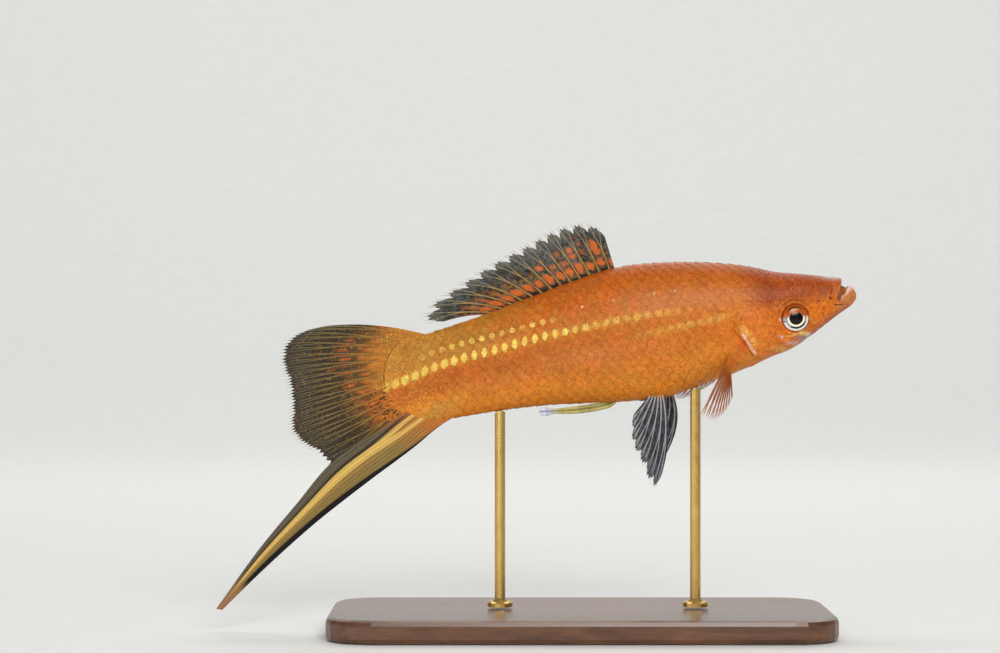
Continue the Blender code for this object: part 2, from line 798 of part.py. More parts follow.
def main():
    clear_scene()
    parts = make_collection("swordtail")
    cutters = make_collection("cutters")
    red = make_material("red_orange_skin", RED_ORANGE, 0.35)
    bronze = make_material("bronze_skin", BRONZE, 0.35)
    olive = make_material("olive_fin", OLIVE, 0.4)
    orange = make_material("orange_fin", CLEAR_ORANGE, 0.4)
    silver = make_material("silver_fin", SILVER_BLUE, 0.35)
    black = make_material("eye_black", EYE_BLACK, 0.1)
    wood = make_material("dark_wood", WALNUT, 0.4)
    brass = make_material("brass_rod", BRASS, 0.3, 1.0)

    fish = bpy.data.objects.new("fish", None)
    parts.objects.link(fish)
    fish.location = (SNOUT_X * MM, 0, SNOUT_HEIGHT * MM)
    fish.rotation_euler = (0, -NOSE_UP, 0)
    bpy.context.view_layer.update()

    head = make_head(parts, cutters, fish, red)
    make_lower_jaw(parts, cutters, fish, red)
    make_eyes(parts, fish, black)
    torso, stem = make_body(parts, cutters, fish, red, bronze)
    for recess in make_gill_covers(parts, cutters, fish, red):
        add_boolean(head, "DIFFERENCE", recess)
        add_boolean(torso, "DIFFERENCE", recess)

    clearance = make_guide("clearance", body_mesh("clearance", 1.5, 66.0, 36, GAP), cutters, fish)
    fins = [(make_dorsal_fin(parts, fish), olive), (make_gonopodium(parts, cutters, fish), silver)]
    fins += [(fin, orange if "pectoral" in fin.name else silver) for fin in make_paired_fins(parts, fish)]
    for fin, material in fins:
        fin.data.materials.append(material)
        add_boolean(fin, "DIFFERENCE", clearance)
        settle(fin)
    make_tail_fin(parts, cutters, fish).data.materials.append(olive)
    make_sword(parts, fish).data.materials.append(olive)
    settle(head)
    make_stand(parts, wood, brass, clearance)


main()
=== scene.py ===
"""The looks of a life-size model of a male swordtail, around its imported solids.

The fish is shaped in millimetres in its own frame: "along" runs back from the tip of its jaw, "side"
runs to its left and "height" runs up. to_world turns those places into metres in the frame, with the
nose tipped up. Colours are written as they look on a screen and are made linear by colour().
"""

import math
import random

import bmesh
import bpy
import numpy as np
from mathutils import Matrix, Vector


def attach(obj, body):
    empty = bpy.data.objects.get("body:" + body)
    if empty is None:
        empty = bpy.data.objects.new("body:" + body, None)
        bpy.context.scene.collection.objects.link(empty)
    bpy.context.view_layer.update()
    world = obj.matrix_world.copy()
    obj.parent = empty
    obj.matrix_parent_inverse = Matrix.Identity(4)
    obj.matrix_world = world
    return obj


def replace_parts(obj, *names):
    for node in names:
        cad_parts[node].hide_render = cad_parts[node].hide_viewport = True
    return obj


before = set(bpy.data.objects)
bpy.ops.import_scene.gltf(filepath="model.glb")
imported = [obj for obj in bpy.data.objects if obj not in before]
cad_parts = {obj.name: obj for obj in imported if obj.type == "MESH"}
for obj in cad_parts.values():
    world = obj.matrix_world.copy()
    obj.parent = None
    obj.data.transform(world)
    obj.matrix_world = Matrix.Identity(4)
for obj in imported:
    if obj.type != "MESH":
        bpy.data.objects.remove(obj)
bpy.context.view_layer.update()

MM = 0.001
SNOUT_X = 41.5
SNOUT_HEIGHT = 50.7
NOSE_UP = math.radians(10)

# Each row is a cross-section of the body: along, back, belly, half width, level of the widest
# place, and how full the section is above and below that level (2 is an ellipse, more is squarer).
SECTIONS = np.array((
    (0.0, 0.25, -0.10, 0.60, 0.10, 2.2, 2.0),
    (0.5, 1.10, -1.15, 1.45, 0.10, 2.3, 2.0),
    (1.2, 1.85, -1.65, 1.95, 0.10, 2.4, 2.0),
    (2.2, 2.65, -2.05, 2.45, 0.10, 2.5, 2.0),
    (3.6, 3.20, -2.75, 2.95, 0.00, 2.6, 2.0),
    (5.5, 3.75, -3.75, 3.50, -0.30, 2.7, 2.0),
    (8.0, 4.45, -5.05, 4.10, -0.80, 2.7, 2.1),
    (11.4, 5.35, -6.50, 4.70, -1.20, 2.6, 2.1),
    (14.5, 6.60, -7.25, 5.05, -1.00, 2.4, 2.1),
    (18.0, 7.75, -8.15, 5.30, -0.50, 2.2, 2.1),
    (24.0, 9.10, -9.20, 5.50, 0.00, 2.1, 2.1),
    (31.0, 10.05, -10.35, 5.35, 0.20, 2.0, 2.1),
    (36.0, 10.15, -10.05, 5.00, 0.20, 2.0, 2.0),
    (43.0, 9.10, -9.15, 4.35, 0.10, 1.9, 2.0),
    (50.0, 7.75, -8.30, 3.55, -0.20, 1.9, 1.9),
    (57.0, 6.45, -7.95, 2.75, -0.60, 1.9, 1.9),
    (64.0, 5.45, -7.90, 1.85, -1.20, 1.8, 1.8),
    (69.0, 5.30, -7.90, 1.05, -1.30, 1.8, 1.8),
))

# The scaled body ends on an arc, where the tail fin grows from it.
TAIL_ARC_ALONG = 62.0
TAIL_ARC_REACH = 7.0
TAIL_ARC_LEVEL = -1.25
TAIL_ARC_HALF_HEIGHT = 7.15
TAIL_TAPER = 3.2
TAIL_THINNING = 0.93

EYE_ALONG = 10.1
EYE_HEIGHT = -1.9
EYE_MAP_WIDTH = 4.4
EYE_SECTORS = 56

# The mouth's open rim on the left side, from the middle of the upper lip round the corner to the
# middle of the lower lip: share, along, side, height.
MOUTH_RIM = (
    (0.00, 2.10, 0.00, 2.60),
    (0.14, 2.26, 1.30, 2.28),
    (0.25, 2.55, 2.05, 1.74),
    (0.35, 2.95, 2.52, 1.02),
    (0.44, 3.38, 2.76, 0.22),
    (0.50, 3.46, 2.80, -0.26),
    (0.56, 3.12, 2.66, -0.62),
    (0.62, 2.62, 2.42, -0.52),
    (0.72, 1.95, 2.02, 0.14),
    (0.86, 1.16, 1.26, 1.02),
    (1.00, 0.85, 0.00, 1.28),
)
SNOUT_HUB = np.array((5.0, 0.0, -0.5))
MOUTH_SLOT = (
    (0.00, 2.34, 0.00, 1.98),
    (0.16, 2.30, 0.86, 1.86),
    (0.32, 2.20, 1.26, 1.66),
    (0.50, 2.04, 1.38, 1.50),
    (0.68, 1.86, 1.26, 1.40),
    (0.84, 1.72, 0.84, 1.36),
    (1.00, 1.64, 0.00, 1.34),
)
MOUTH_APEX = np.array((4.2, 0.0, 0.6))
UPPER_LIP = 0.28
LOWER_LIP = 0.20
CORNER_LIP = 0.13

# The gill cover's outline, seen from the side.
GILL_COVER = np.array((
    (15.0, 1.30),
    (17.4, 1.25),
    (19.1, -0.60),
    (19.45, -2.30),
    (18.35, -3.90),
    (17.75, -5.20),
    (16.90, -6.55),
    (15.20, -6.75),
    (13.90, -5.60),
    (13.15, -3.60),
    (13.05, -1.20),
    (13.65, 0.60),
))

# Openings in the skin of the head: along, height, radius, depth.
NOSTRILS = ((4.40, 0.10, 0.22, 0.26), (6.26, 0.02, 0.20, 0.22))
PORES = (
    (5.58, -1.15, 0.14, 0.10),
    (5.79, -2.00, 0.15, 0.12),
    (6.6, -0.35, 0.10, 0.06),
    (8.43, 1.94, 0.13, 0.09),
    (11.9, 1.12, 0.18, 0.10),
    (7.2, 1.3, 0.09, 0.05),
    (12.9, -1.3, 0.10, 0.05),
    (13.1, -2.0, 0.10, 0.05),
)

# The row of scales that carries the gold band: along and height.
BAND = np.array((
    (8.0, 1.9),
    (15.0, 1.5),
    (20.0, 1.75),
    (25.0, 2.05),
    (32.9, 2.35),
    (44.9, 2.02),
    (54.5, 1.23),
    (63.3, 0.35),
    (69.0, -0.95),
    (72.0, -1.6),
))
ROW_SPACING = 1.10
SCALE_PITCH = 1.55

# One gold mark lies here, and the others at the pitch of the scales from it.
FIRST_MARK = 68.9

# The relief of the head, and the gaps in the scales round it, end here.
RELIEF_END = 21.5

NOISE_TABLE = 4096
NOISE_STRIDES = np.array((73, 1181, 2711))
FAR_AWAY = 1e9


def smooth(stations, values, places):
    """Reads a smooth curve through the values at the rising stations, at many places at once."""
    stations = np.asarray(stations, float)
    values = np.asarray(values, float)
    flat = values.reshape(len(stations), -1)
    slopes = np.empty_like(flat)
    slopes[1:-1] = (flat[2:] - flat[:-2]) / (stations[2:] - stations[:-2])[:, None]
    slopes[0] = (flat[1] - flat[0]) / (stations[1] - stations[0])
    slopes[-1] = (flat[-1] - flat[-2]) / (stations[-1] - stations[-2])
    places = np.clip(np.asarray(places, float), stations[0], stations[-1])
    left = np.clip(np.searchsorted(stations, places, side="right") - 1, 0, len(stations) - 2)
    span = stations[left + 1] - stations[left]
    part = (places - stations[left]) / span
    swell = part * part * (3 - 2 * part)
    result = flat[left] * (1 - swell)[..., None] + flat[left + 1] * swell[..., None]
    result += slopes[left] * (part * (1 - part) ** 2 * span)[..., None]
    result -= slopes[left + 1] * (part * part * (1 - part) * span)[..., None]
    return result.reshape(places.shape + values.shape[1:])


def line_through(*points):
    """Gives a smooth line through points, each with its share from 0 to 1 first."""
    table = np.array(points, float)
    return lambda share: smooth(table[:, 0], table[:, 1:], share)


def ease(value):
    """Rises smoothly from 0 to 1 as the value does."""
    value = np.clip(value, 0.0, 1.0)
    return value * value * (3 - 2 * value)


def noise(points, size, seed):
    """Gives smooth noise from 0 to 1 on points, with lumps of one size."""
    table = np.random.default_rng(seed).random(NOISE_TABLE)
    points = np.asarray(points, float) / size
    cell = np.floor(points).astype(int)
    swell = ease(points - cell)
    total = np.zeros(points.shape[:-1])
    for corner in np.ndindex(*(2,) * points.shape[-1]):
        place = cell + corner
        weight = np.prod(np.where(np.array(corner), swell, 1 - swell), -1)
        index = (place * NOISE_STRIDES[: points.shape[-1]]).sum(-1) % NOISE_TABLE
        total += weight * table[index]
    return total


def section(along):
    """Gives the back, belly, half width, widest level and two fullnesses at many places."""
    values = smooth(np.sqrt(SECTIONS[:, 0]), SECTIONS[:, 1:], np.sqrt(np.maximum(along, 0.0)))
    return np.moveaxis(values, -1, 0)


def body_points(along, turn):
    """Gives points on the body; turn runs from the back (0) down the left side to the belly (pi)."""
    along, turn = np.broadcast_arrays(np.asarray(along, float), turn)
    back, belly, half_width, level, above, below = section(along)
    rise = np.cos(turn)
    reach = np.sin(turn)
    fullness = np.where(rise > 0, above, below)
    tall = np.where(rise > 0, back - level, level - belly)
    height = level + np.sign(rise) * np.abs(rise) ** (2 / fullness) * tall
    side = np.sign(reach) * np.abs(reach) ** (2 / fullness) * half_width
    return np.stack((along, side, height), -1)


def body_side(along, height):
    """Gives how far the skin stands from the middle at one place and height."""
    back, belly, half_width, level, above, below = section(np.asarray(along, float))
    fullness = np.where(height > level, above, below)
    tall = np.where(height > level, back - level, level - belly)
    share = np.minimum(np.abs(height - level) / tall, 1.0)
    return half_width * (1 - share**fullness) ** (1 / fullness)


def body_underside(along, side):
    """Gives the belly's height at one place, off to one side."""
    _, belly, half_width, level, _, below = section(np.asarray(along, float))
    share = np.minimum(np.abs(side) / half_width, 1.0)
    return level - (level - belly) * (1 - share**below) ** (1 / below)


def tail_arc(height):
    """Gives where along the fish the scaled body ends, at one height."""
    share = np.minimum(np.abs(height - TAIL_ARC_LEVEL) / TAIL_ARC_HALF_HEIGHT, 1.0)
    return TAIL_ARC_ALONG + TAIL_ARC_REACH * np.sqrt(1 - share * share)


def thin_tail(points):
    """Thins the body where it runs on over the tail fin's root."""
    reach = points[..., 0] - tail_arc(points[..., 2])
    thinned = points.copy()
    share = ease(reach / TAIL_TAPER)
    thinned[..., 1] *= 1 - TAIL_THINNING * share
    return thinned


def band_height(along):
    """Gives the height of the gold band's row."""
    return smooth(BAND[:, 0], BAND[:, 1], along)


def to_world(points):
    """Turns places on the fish, in millimetres, into metres in the frame."""
    along, side, height = np.moveaxis(np.asarray(points, float), -1, 0)
    east = SNOUT_X - along * math.cos(NOSE_UP) - height * math.sin(NOSE_UP)
    up = SNOUT_HEIGHT - along * math.sin(NOSE_UP) + height * math.cos(NOSE_UP)
    return np.stack((east, side, up), -1) * MM


def colour(red, green, blue):
    """Turns a screen colour, from 0 to 255, into linear light."""
    share = np.array((red, green, blue)) / 255
    return np.where(share <= 0.04045, share / 12.92, ((share + 0.055) / 1.055) ** 2.4)


def rgba(red, green, blue):
    """Gives a screen colour as the four linear values of a node's socket."""
    return (*colour(red, green, blue), 1)


def grid_normals(grid):
    """Gives the unit normals of a grid of points."""
    normals = np.cross(np.gradient(grid, axis=0), np.gradient(grid, axis=1))
    return normals / np.maximum(np.linalg.norm(normals, axis=-1, keepdims=True), 1e-12)


class Piece:
    """Gathers the points and faces of one joined mesh, with its maps and painted colours."""

    def __init__(self):
        self.points = []
        self.faces = []
        self.maps = {}
        self.paints = {}
        self.count = 0

    def add(self, points, faces, maps=None, paints=None):
        """Adds points in fish millimetres, faces by index, and a row for each point of each map."""
        points = np.asarray(points, float).reshape(-1, 3)
        self.points.append(points)
        self.faces.extend(tuple(int(corner) + self.count for corner in face) for face in faces)
        for store, rows in ((self.maps, maps or {}), (self.paints, paints or {})):
            for name, values in rows.items():
                store.setdefault(name, []).append(np.asarray(values, float).reshape(len(points), -1))
        self.count += len(points)

    def finish(self, name, materials, smooth_angle=None):
        """Makes the object, with its mesh in place in the frame."""
        points = np.concatenate(self.points)
        mesh = bpy.data.meshes.new(name)
        mesh.from_pydata(to_world(points), [], self.faces)
        corners = np.empty(len(mesh.loops), int)
        mesh.loops.foreach_get("vertex_index", corners)
        for map_name, rows in self.maps.items():
            layer = mesh.uv_layers.new(name=map_name)
            layer.uv.foreach_set("vector", np.concatenate(rows)[corners].astype(np.float32).ravel())
        for paint_name, rows in self.paints.items():
            values = np.concatenate(rows)
            kind, field = "FLOAT", "value"
            if paint_name == "lie":
                kind, field = "FLOAT_VECTOR", "vector"
            elif values.shape[1] > 1:
                kind, field = "FLOAT_COLOR", "color"
                values = np.concatenate((values, np.ones((len(values), 1))), 1)
            attribute = mesh.attributes.new(paint_name, kind, "POINT")
            attribute.data.foreach_set(field, values.astype(np.float32).ravel())
        shell = bmesh.new()
        shell.from_mesh(mesh)
        bmesh.ops.recalc_face_normals(shell, faces=shell.faces)
        shell.to_mesh(mesh)
        shell.free()
        mesh.shade_smooth()
        if smooth_angle:
            mesh.set_sharp_from_angle(angle=math.radians(smooth_angle))
        for material in materials:
            mesh.materials.append(material)
        piece = bpy.data.objects.new(name, mesh)
        bpy.context.scene.collection.objects.link(piece)
        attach(piece, "root")
        return piece


def grid_faces(columns, rows, closed=False, flip=False):
    """Gives the faces of a grid; closed joins the last row of each column to its first."""
    faces = []
    last = rows if closed else rows - 1
    for column in range(columns - 1):
        for row in range(last):
            after = (row + 1) % rows
            face = (
                column * rows + row,
                (column + 1) * rows + row,
                (column + 1) * rows + after,
                column * rows + after,
            )
            faces.append(face[::-1] if flip else face)
    return faces


def sheet_faces(columns, rows):
    """Gives the faces of a thin closed sheet: its front, its back and the rim between them."""
    back = columns * rows
    faces = grid_faces(columns, rows)
    faces += [tuple(corner + back for corner in face[::-1]) for face in faces]
    rim = [column * rows for column in range(columns)]
    rim += [(columns - 1) * rows + row for row in range(1, rows)]
    rim += [column * rows + rows - 1 for column in range(columns - 2, -1, -1)]
    rim += list(range(rows - 2, 0, -1))
    faces += [(after, corner, corner + back, after + back) for corner, after in zip(rim, rim[1:] + rim[:1])]
    return faces


def cap_faces(columns, rows):
    """Gives the faces that close a tube at both ends, each round a point that follows the rings."""
    start = columns * rows
    faces = []
    for row in range(rows):
        after = (row + 1) % rows
        faces.append((start, row, after))
        faces.append((start + 1, (columns - 1) * rows + after, (columns - 1) * rows + row))
    return faces


def twice(rows_of, count):
    """Repeats the rows of some maps or paints for the second side of a sheet."""
    return {name: np.concatenate((np.reshape(rows, (count, -1)),) * 2) for name, rows in rows_of.items()}


def add_sheet(piece, grid, thickness, maps, paints):
    """Adds a grid of points as a thin closed sheet; thickness is one value or one for each point."""
    columns, rows = grid.shape[:2]
    half = grid_normals(grid) * np.broadcast_to(thickness, (columns, rows))[..., None] / 2
    points = np.concatenate(((grid + half).reshape(-1, 3), (grid - half).reshape(-1, 3)))
    count = columns * rows
    piece.add(points, sheet_faces(columns, rows), twice(maps, count), twice(paints, count))


def add_tube(piece, path, radii, sides, maps, paints):
    """Adds a closed tube along a path, with one radius for each of its points."""
    path = np.asarray(path, float)
    count = len(path)
    ahead = np.gradient(path, axis=0)
    ahead /= np.maximum(np.linalg.norm(ahead, axis=-1, keepdims=True), 1e-12)
    across = np.broadcast_to(np.array((0.0, 1.0, 0.0)), path.shape)
    across = across - ahead * (across * ahead).sum(-1, keepdims=True)
    across /= np.maximum(np.linalg.norm(across, axis=-1, keepdims=True), 1e-12)
    other = np.cross(ahead, across)
    turns = np.linspace(0, 2 * math.pi, sides, endpoint=False)
    ring = across[:, None] * np.cos(turns)[None, :, None] + other[:, None] * np.sin(turns)[None, :, None]
    points = path[:, None] + ring * radii[:, None, None]
    points = np.concatenate((points.reshape(-1, 3), path[:1], path[-1:]))
    faces = grid_faces(count, sides, closed=True, flip=True) + cap_faces(count, sides)

    def spread(rows_of):
        result = {}
        for name, values in rows_of.items():
            values = np.reshape(values, (count, -1))
            result[name] = np.concatenate((np.repeat(values, sides, 0), values[:1], values[-1:]))
        return result

    piece.add(points, faces, spread(maps), spread(paints))


# The painting of the skin and the scales.

BACK_ORANGE = colour(176, 86, 18)
FLANK_ORANGE = colour(200, 108, 28)
BELLY_ORANGE = colour(222, 134, 44)
PEDUNCLE_TAN = colour(184, 128, 46)
STRIPE_RED = colour(188, 98, 34)
PINK_SHEEN = colour(212, 124, 64)
BAND_GOLD = colour(214, 160, 70)
HEAD_RED = colour(150, 60, 12)
CHEEK_ORANGE = colour(204, 104, 26)
SWORD_TAN = colour(196, 146, 62)
CHIN_RED = colour(150, 30, 24)
LIP_PINK = colour(200, 124, 92)
LIP_PALE = colour(240, 206, 190)
JAW_TAN = colour(190, 118, 72)
MOUTH_BROWN = colour(150, 84, 44)
MOUTH_RED = colour(84, 22, 22)
MOUTH_SHADE = colour(26, 8, 8)
PORE_SHADE = colour(104, 44, 20)
GOLD = colour(250, 216, 112)
SILVER = colour(196, 196, 200)
BLUE_SILVER = colour(140, 146, 168)
SPECK_BROWN = colour(96, 48, 30)


def blend(paint, new, share):
    """Moves a colour towards a new one by a share for each place."""
    return paint + (np.asarray(new) - paint) * np.clip(share, 0, 1)[..., None]


def plain(tone, share):
    """Gives one colour for every place of an array."""
    return np.broadcast_to(tone, (*share.shape, 3)).copy()


def blob(along, height, centre, size, lean=0.0):
    """Gives a soft patch, from 0 to 1, with its half length, half height and lean in degrees."""
    turn = math.radians(lean)
    across = (along - centre[0]) * math.cos(turn) + (height - centre[1]) * math.sin(turn)
    up = (height - centre[1]) * math.cos(turn) - (along - centre[0]) * math.sin(turn)
    return np.exp(-((across / size[0]) ** 2) - (up / size[1]) ** 2)


def reach_to(along, height, start, end):
    """Gives how far each place is from a straight piece of line."""
    step = end - start
    share = ((along - start[0]) * step[0] + (height - start[1]) * step[1]) / (step @ step)
    share = np.clip(share, 0, 1)
    return np.hypot(along - start[0] - share * step[0], height - start[1] - share * step[1])


def along_line(along, height, line, width):
    """Gives how near each place is to a line of points, from 1 on it to 0 past its width."""
    nearest = np.full(np.shape(along), FAR_AWAY)
    for start, end in zip(line, line[1:]):
        nearest = np.minimum(nearest, reach_to(along, height, np.array(start), np.array(end)))
    return ease(1 - nearest / width)


def gill_edge():
    """Gives the gill cover's outline as a smooth closed line of points."""
    closed = np.concatenate((GILL_COVER, GILL_COVER[:1]))
    return smooth(np.arange(len(closed)), closed, np.linspace(0, len(closed) - 1, 97))


def gill_distance(along, height):
    """Gives how far each place is outside the gill cover's edge; inside it is below 0."""
    edge = gill_edge()
    nearest = np.full(np.shape(along), FAR_AWAY)
    inside = np.zeros(np.shape(along), bool)
    for start, end in zip(edge, edge[1:]):
        nearest = np.minimum(nearest, reach_to(along, height, start, end))
        step = end - start
        crosses = (start[1] > height) != (end[1] > height)
        rise = np.where(abs(step[1]) < 1e-9, 1e-9, step[1])
        inside ^= crosses & (along < start[0] + (height - start[1]) * step[0] / rise)
    return np.where(inside, -nearest, nearest)


def paint_body(points):
    """Gives the skin's colour at places on the fish, the same for the skin and the scales."""
    along, _, height = np.moveaxis(points, -1, 0)
    back, belly, _, level = section(along)[:4]
    band = band_height(along)
    top = np.clip((height - level) / np.maximum(back - level, 0.1), 0, 1)
    low = np.clip((level - height) / np.maximum(level - belly, 0.1), 0, 1)
    paint = np.broadcast_to(FLANK_ORANGE, points.shape).copy()
    paint = blend(paint, BACK_ORANGE, ease((top - 0.25) / 0.75) * 0.95)
    paint = blend(paint, BELLY_ORANGE, ease((low - 0.15) / 0.6) * 0.8)
    stem = ease((along - 44) / 16)
    paint = blend(paint, PEDUNCLE_TAN, stem * ease((height - band + 0.2) / 1.5) * 0.8)
    under = ease((band - height - 0.7) / 0.8) * ease((height - band + 4.6) / 1.8)
    paint = blend(paint, STRIPE_RED, under * ease((along - 30) / 14) * 0.6)
    paint = blend(paint, PINK_SHEEN, blob(along, height, (40.0, -2.4), (9.0, 1.5), 2) * 0.7)
    paint = blend(paint, PINK_SHEEN, blob(along, height, (54.0, -3.6), (6.0, 1.2), 2) * 0.35)
    golden = ease(1 - np.abs(height - band) / 1.0) * ease((along - 26) / 10)
    paint = blend(paint, BAND_GOLD, golden * 0.40)
    lower = -0.5 + 0.045 * (33 - along)
    golden = ease(1 - np.abs(height - lower) / 0.9) * ease((along - 17) / 4) * ease((37 - along) / 6)
    paint = blend(paint, BAND_GOLD, golden * 0.35)
    paint = blend(paint, SWORD_TAN, blob(along, height, (65.5, -6.6), (4.2, 1.3), -22) * 0.75)
    head = ease((19 - along) / 6)
    paint = blend(paint, HEAD_RED, head * ease((height + 0.8) / 2.6) * 0.9)
    paint = blend(paint, CHEEK_ORANGE, head * ease((1.2 - height) / 2.6) * 0.8)
    paint = blend(paint, BELLY_ORANGE, blob(along, height, (21.5, -6.0), (4.0, 2.2)) * 0.6)
    return mottle(paint, points)


def paint_fish(points):
    """Gives the whole colour of the skin, which its scales repeat."""
    return paint_head(paint_body(points), points)


def lie_of(points):
    """Gives each place's distance along the fish and its height from the gold band."""
    along, side, height = np.moveaxis(points, -1, 0)
    return np.stack((along, height - band_height(along), side), -1)


def mottle(paint, points):
    """Varies a colour over the skin in soft lumps."""
    coarse = noise(points, 2.3, 11) - 0.5
    fine = noise(points, 0.55, 12) - 0.5
    paint = paint * (1 + 0.16 * coarse + 0.14 * fine)[..., None]
    redder = noise(points, 1.2, 13) - 0.5
    paint = paint * (1 + redder[..., None] * np.array((0.05, -0.16, -0.25)))
    head = ease((20 - points[..., 0]) / 6)
    fleck = (noise(points, 0.26, 16) - 0.5) * head
    paint = paint * (1 + fleck[..., None] * np.array((0.35, 0.75, 0.9)))
    return np.clip(paint, 0, 1)


def paint_head(paint, points):
    """Adds the marks of the head to the skin's colour, with painted shade in the nostrils, the pores and the
    fold above the eye, and a painted highlight along the snout's top.
    """
    along, _, height = np.moveaxis(points, -1, 0)
    belly = section(along)[1]
    near = along < 22
    chin = ease(1 - (height - belly) / 1.1) * ease((along - 0.9) / 1.2) * ease((10.5 - along) / 3.5)
    paint = blend(paint, CHIN_RED, chin * 0.75)
    jaw = ease((3.9 - along) / 0.8) * ease((1.6 - height) / 0.8)
    paint = blend(paint, JAW_TAN, jaw * ease((height - belly - 0.2) / 0.7) * 0.75)
    sparkle = ease((noise(points, 0.17, 15) - 0.34) / 0.2)
    for centre, size, lean, tone, share in (
        ((9.0, -4.55), (1.25, 0.34), 28, GOLD, 0.85),
        ((10.9, -4.35), (0.8, 0.16), -6, GOLD, 0.8),
        ((9.35, -5.15), (0.95, 0.42), 24, BLUE_SILVER, 0.85),
        ((8.2, -4.75), (0.45, 0.24), 20, SILVER, 0.9),
        ((10.9, -5.5), (1.0, 0.30), 10, SILVER, 0.55),
        ((12.6, -6.3), (1.6, 0.45), 20, GOLD, 0.40),
        ((12.65, -4.35), (0.30, 0.20), 30, LIP_PALE, 1.0),
        ((12.45, -1.75), (0.14, 0.14), 0, LIP_PALE, 0.9),
        ((6.7, -4.15), (0.22, 0.14), 0, SILVER, 0.9),
        ((7.2, -3.2), (0.18, 0.10), 0, GOLD, 0.9),
    ):
        shine = blob(along, height, centre, size, lean) * 1.5 * sparkle
        paint = blend(paint, tone, np.clip(shine, 0, 1) * share * near)
    for centre, size, lean, tone, share in (
        ((16.2, -3.0), (2.2, 2.4), 20, colour(216, 122, 46), 0.5),
        ((18.6, -4.9), (0.9, 1.9), 28, colour(186, 60, 28), 0.65),
        # painted highlight: a pale silver streak along the top edge of the snout
        ((3.4, 3.0), (1.5, 0.35), 18, SILVER, 0.45),
        ((5.0, 1.0), (0.9, 0.7), 0, colour(150, 84, 60), 0.45),
        ((3.0, 1.6), (0.5, 1.2), -20, colour(196, 104, 40), 0.6),
    ):
        paint = blend(paint, tone, blob(along, height, centre, size, lean) * share * near)
    # painted shade: a dark ring on the skin above the eye, in the fold under the brow
    ring = np.hypot(along - EYE_ALONG, height - EYE_HEIGHT)
    brow_shade = np.exp(-(((ring - 2.62) / 0.16) ** 2)) * ease((height - EYE_HEIGHT) / 1.5)
    paint = blend(paint, colour(120, 52, 20), brow_shade * 0.5 * near)
    streak = along_line(along, height, ((18.3, -3.0), (17.85, -4.1), (17.3, -5.3), (16.9, -6.0)), 0.42)
    paint = blend(paint, LIP_PALE, streak * np.clip(0.25 + sparkle, 0, 1) * 0.85)
    glint = along_line(along, height, ((18.2, -2.0), (17.5, -3.2), (16.9, -4.5)), 0.9)
    paint = blend(paint, GOLD, glint * sparkle * 0.45)
    # painted shade in the pits of the nostrils and the pores
    for place, level, radius, _ in NOSTRILS + PORES:
        spot = ease(1.6 - np.hypot(along - place, height - level) / radius)
        paint = blend(paint, PORE_SHADE, spot * 0.75)
    return paint


def head_relief(points):
    """Gives how far the skin of the head stands out or in, in millimetres, at places on the body."""
    along, _, height = np.moveaxis(points, -1, 0)
    rise = np.zeros(along.shape)
    reach = np.hypot(along - EYE_ALONG, height - EYE_HEIGHT)
    brow = 1 + 0.6 * ease((height - EYE_HEIGHT) / 2)
    rise += 0.13 * brow * np.exp(-(((reach - 2.42) / 0.24) ** 2))
    rise -= 0.07 * np.exp(-(((reach - 3.05) / 0.3) ** 2))
    rise -= 1.25 * ease((2.17 - reach) / 0.36)
    edge = gill_distance(along, height)
    rear = ease((along - 14.5) / 2.6) * ease((0.9 - height) / 1.6)
    rise += 0.14 * ease(-edge / 0.25) * rear
    rise += 0.08 * np.exp(-(((edge + 0.28) / 0.2) ** 2)) * rear
    rise -= 0.26 * np.exp(-(((edge - 0.16) / 0.2) ** 2)) * rear
    cheek_line = ((13.6, 1.2), (13.25, -1.0), (13.1, -3.0), (12.3, -4.7), (10.6, -5.6), (8.6, -5.2))
    rise -= 0.07 * along_line(along, height, cheek_line, 0.45)
    rise += 0.05 * along_line(along, height, [(a + 0.55, h - 0.3) for a, h in cheek_line], 0.6)
    lip_line = ((3.50, 2.75), (3.72, 1.7), (4.05, 0.30))
    rough = noise(points, 0.35, 14)
    rise -= 0.11 * along_line(along, height, lip_line, 0.34) * (0.5 + rough)
    plate = ease((3.95 - along - 0.12 * height) / 0.5) * ease((height - 0.2) / 0.5)
    rise += 0.07 * plate
    slit = along_line(along, height, ((3.72, -1.04), (2.50, -1.30)), 0.19)
    rise -= 0.22 * slit * (0.5 + rough)
    rise += 0.06 * along_line(along, height, ((3.9, -1.34), (2.4, -1.62)), 0.3)
    fold = ((4.1, -1.0), (4.7, -2.2), (5.6, -3.6))
    rise -= 0.06 * along_line(along, height, fold, 0.4)
    for place, level, radius, depth in NOSTRILS:
        spot = np.hypot(along - place, height - level)
        rise += 0.07 * np.exp(-(((spot - radius * 1.35) / 0.1) ** 2))
        rise -= depth * ease((radius - spot) / (radius * 0.7))
    for place, level, radius, depth in PORES:
        spot = np.hypot(along - place, height - level)
        rise -= depth * ease((radius - spot) / (radius * 0.8))
    return rise


# The skin.

SKIN_DEPTH = -0.10
HALF_RING = 152
DOME_END = 5.0
FINE_END = 20.2
STEM_START = 56.0
DENSE = 420
DOME_RINGS = 42
RIM_RINGS = 9
FINE_STEP = 0.122
COARSE_RINGS = 108
TAIL_RINGS = 26
TAPER_RINGS = 11


def resample(lines, count):
    """Spreads points evenly along each of many lines."""
    steps = np.linalg.norm(np.diff(lines, axis=1), axis=-1)
    lengths = np.concatenate((np.zeros((len(lines), 1)), np.cumsum(steps, 1)), 1)
    result = np.empty((len(lines), count, 3))
    for index, (line, length) in enumerate(zip(lines, lengths)):
        wanted = np.linspace(0, length[-1], count)
        for axis in range(3):
            result[index, :, axis] = np.interp(wanted, length, line[:, axis])
    return result


def half_rings(places):
    """Gives flat rings down the left side of the body."""
    turns = np.linspace(0, math.pi, DENSE)
    return resample(body_points(np.asarray(places)[:, None], turns[None, :]), HALF_RING)


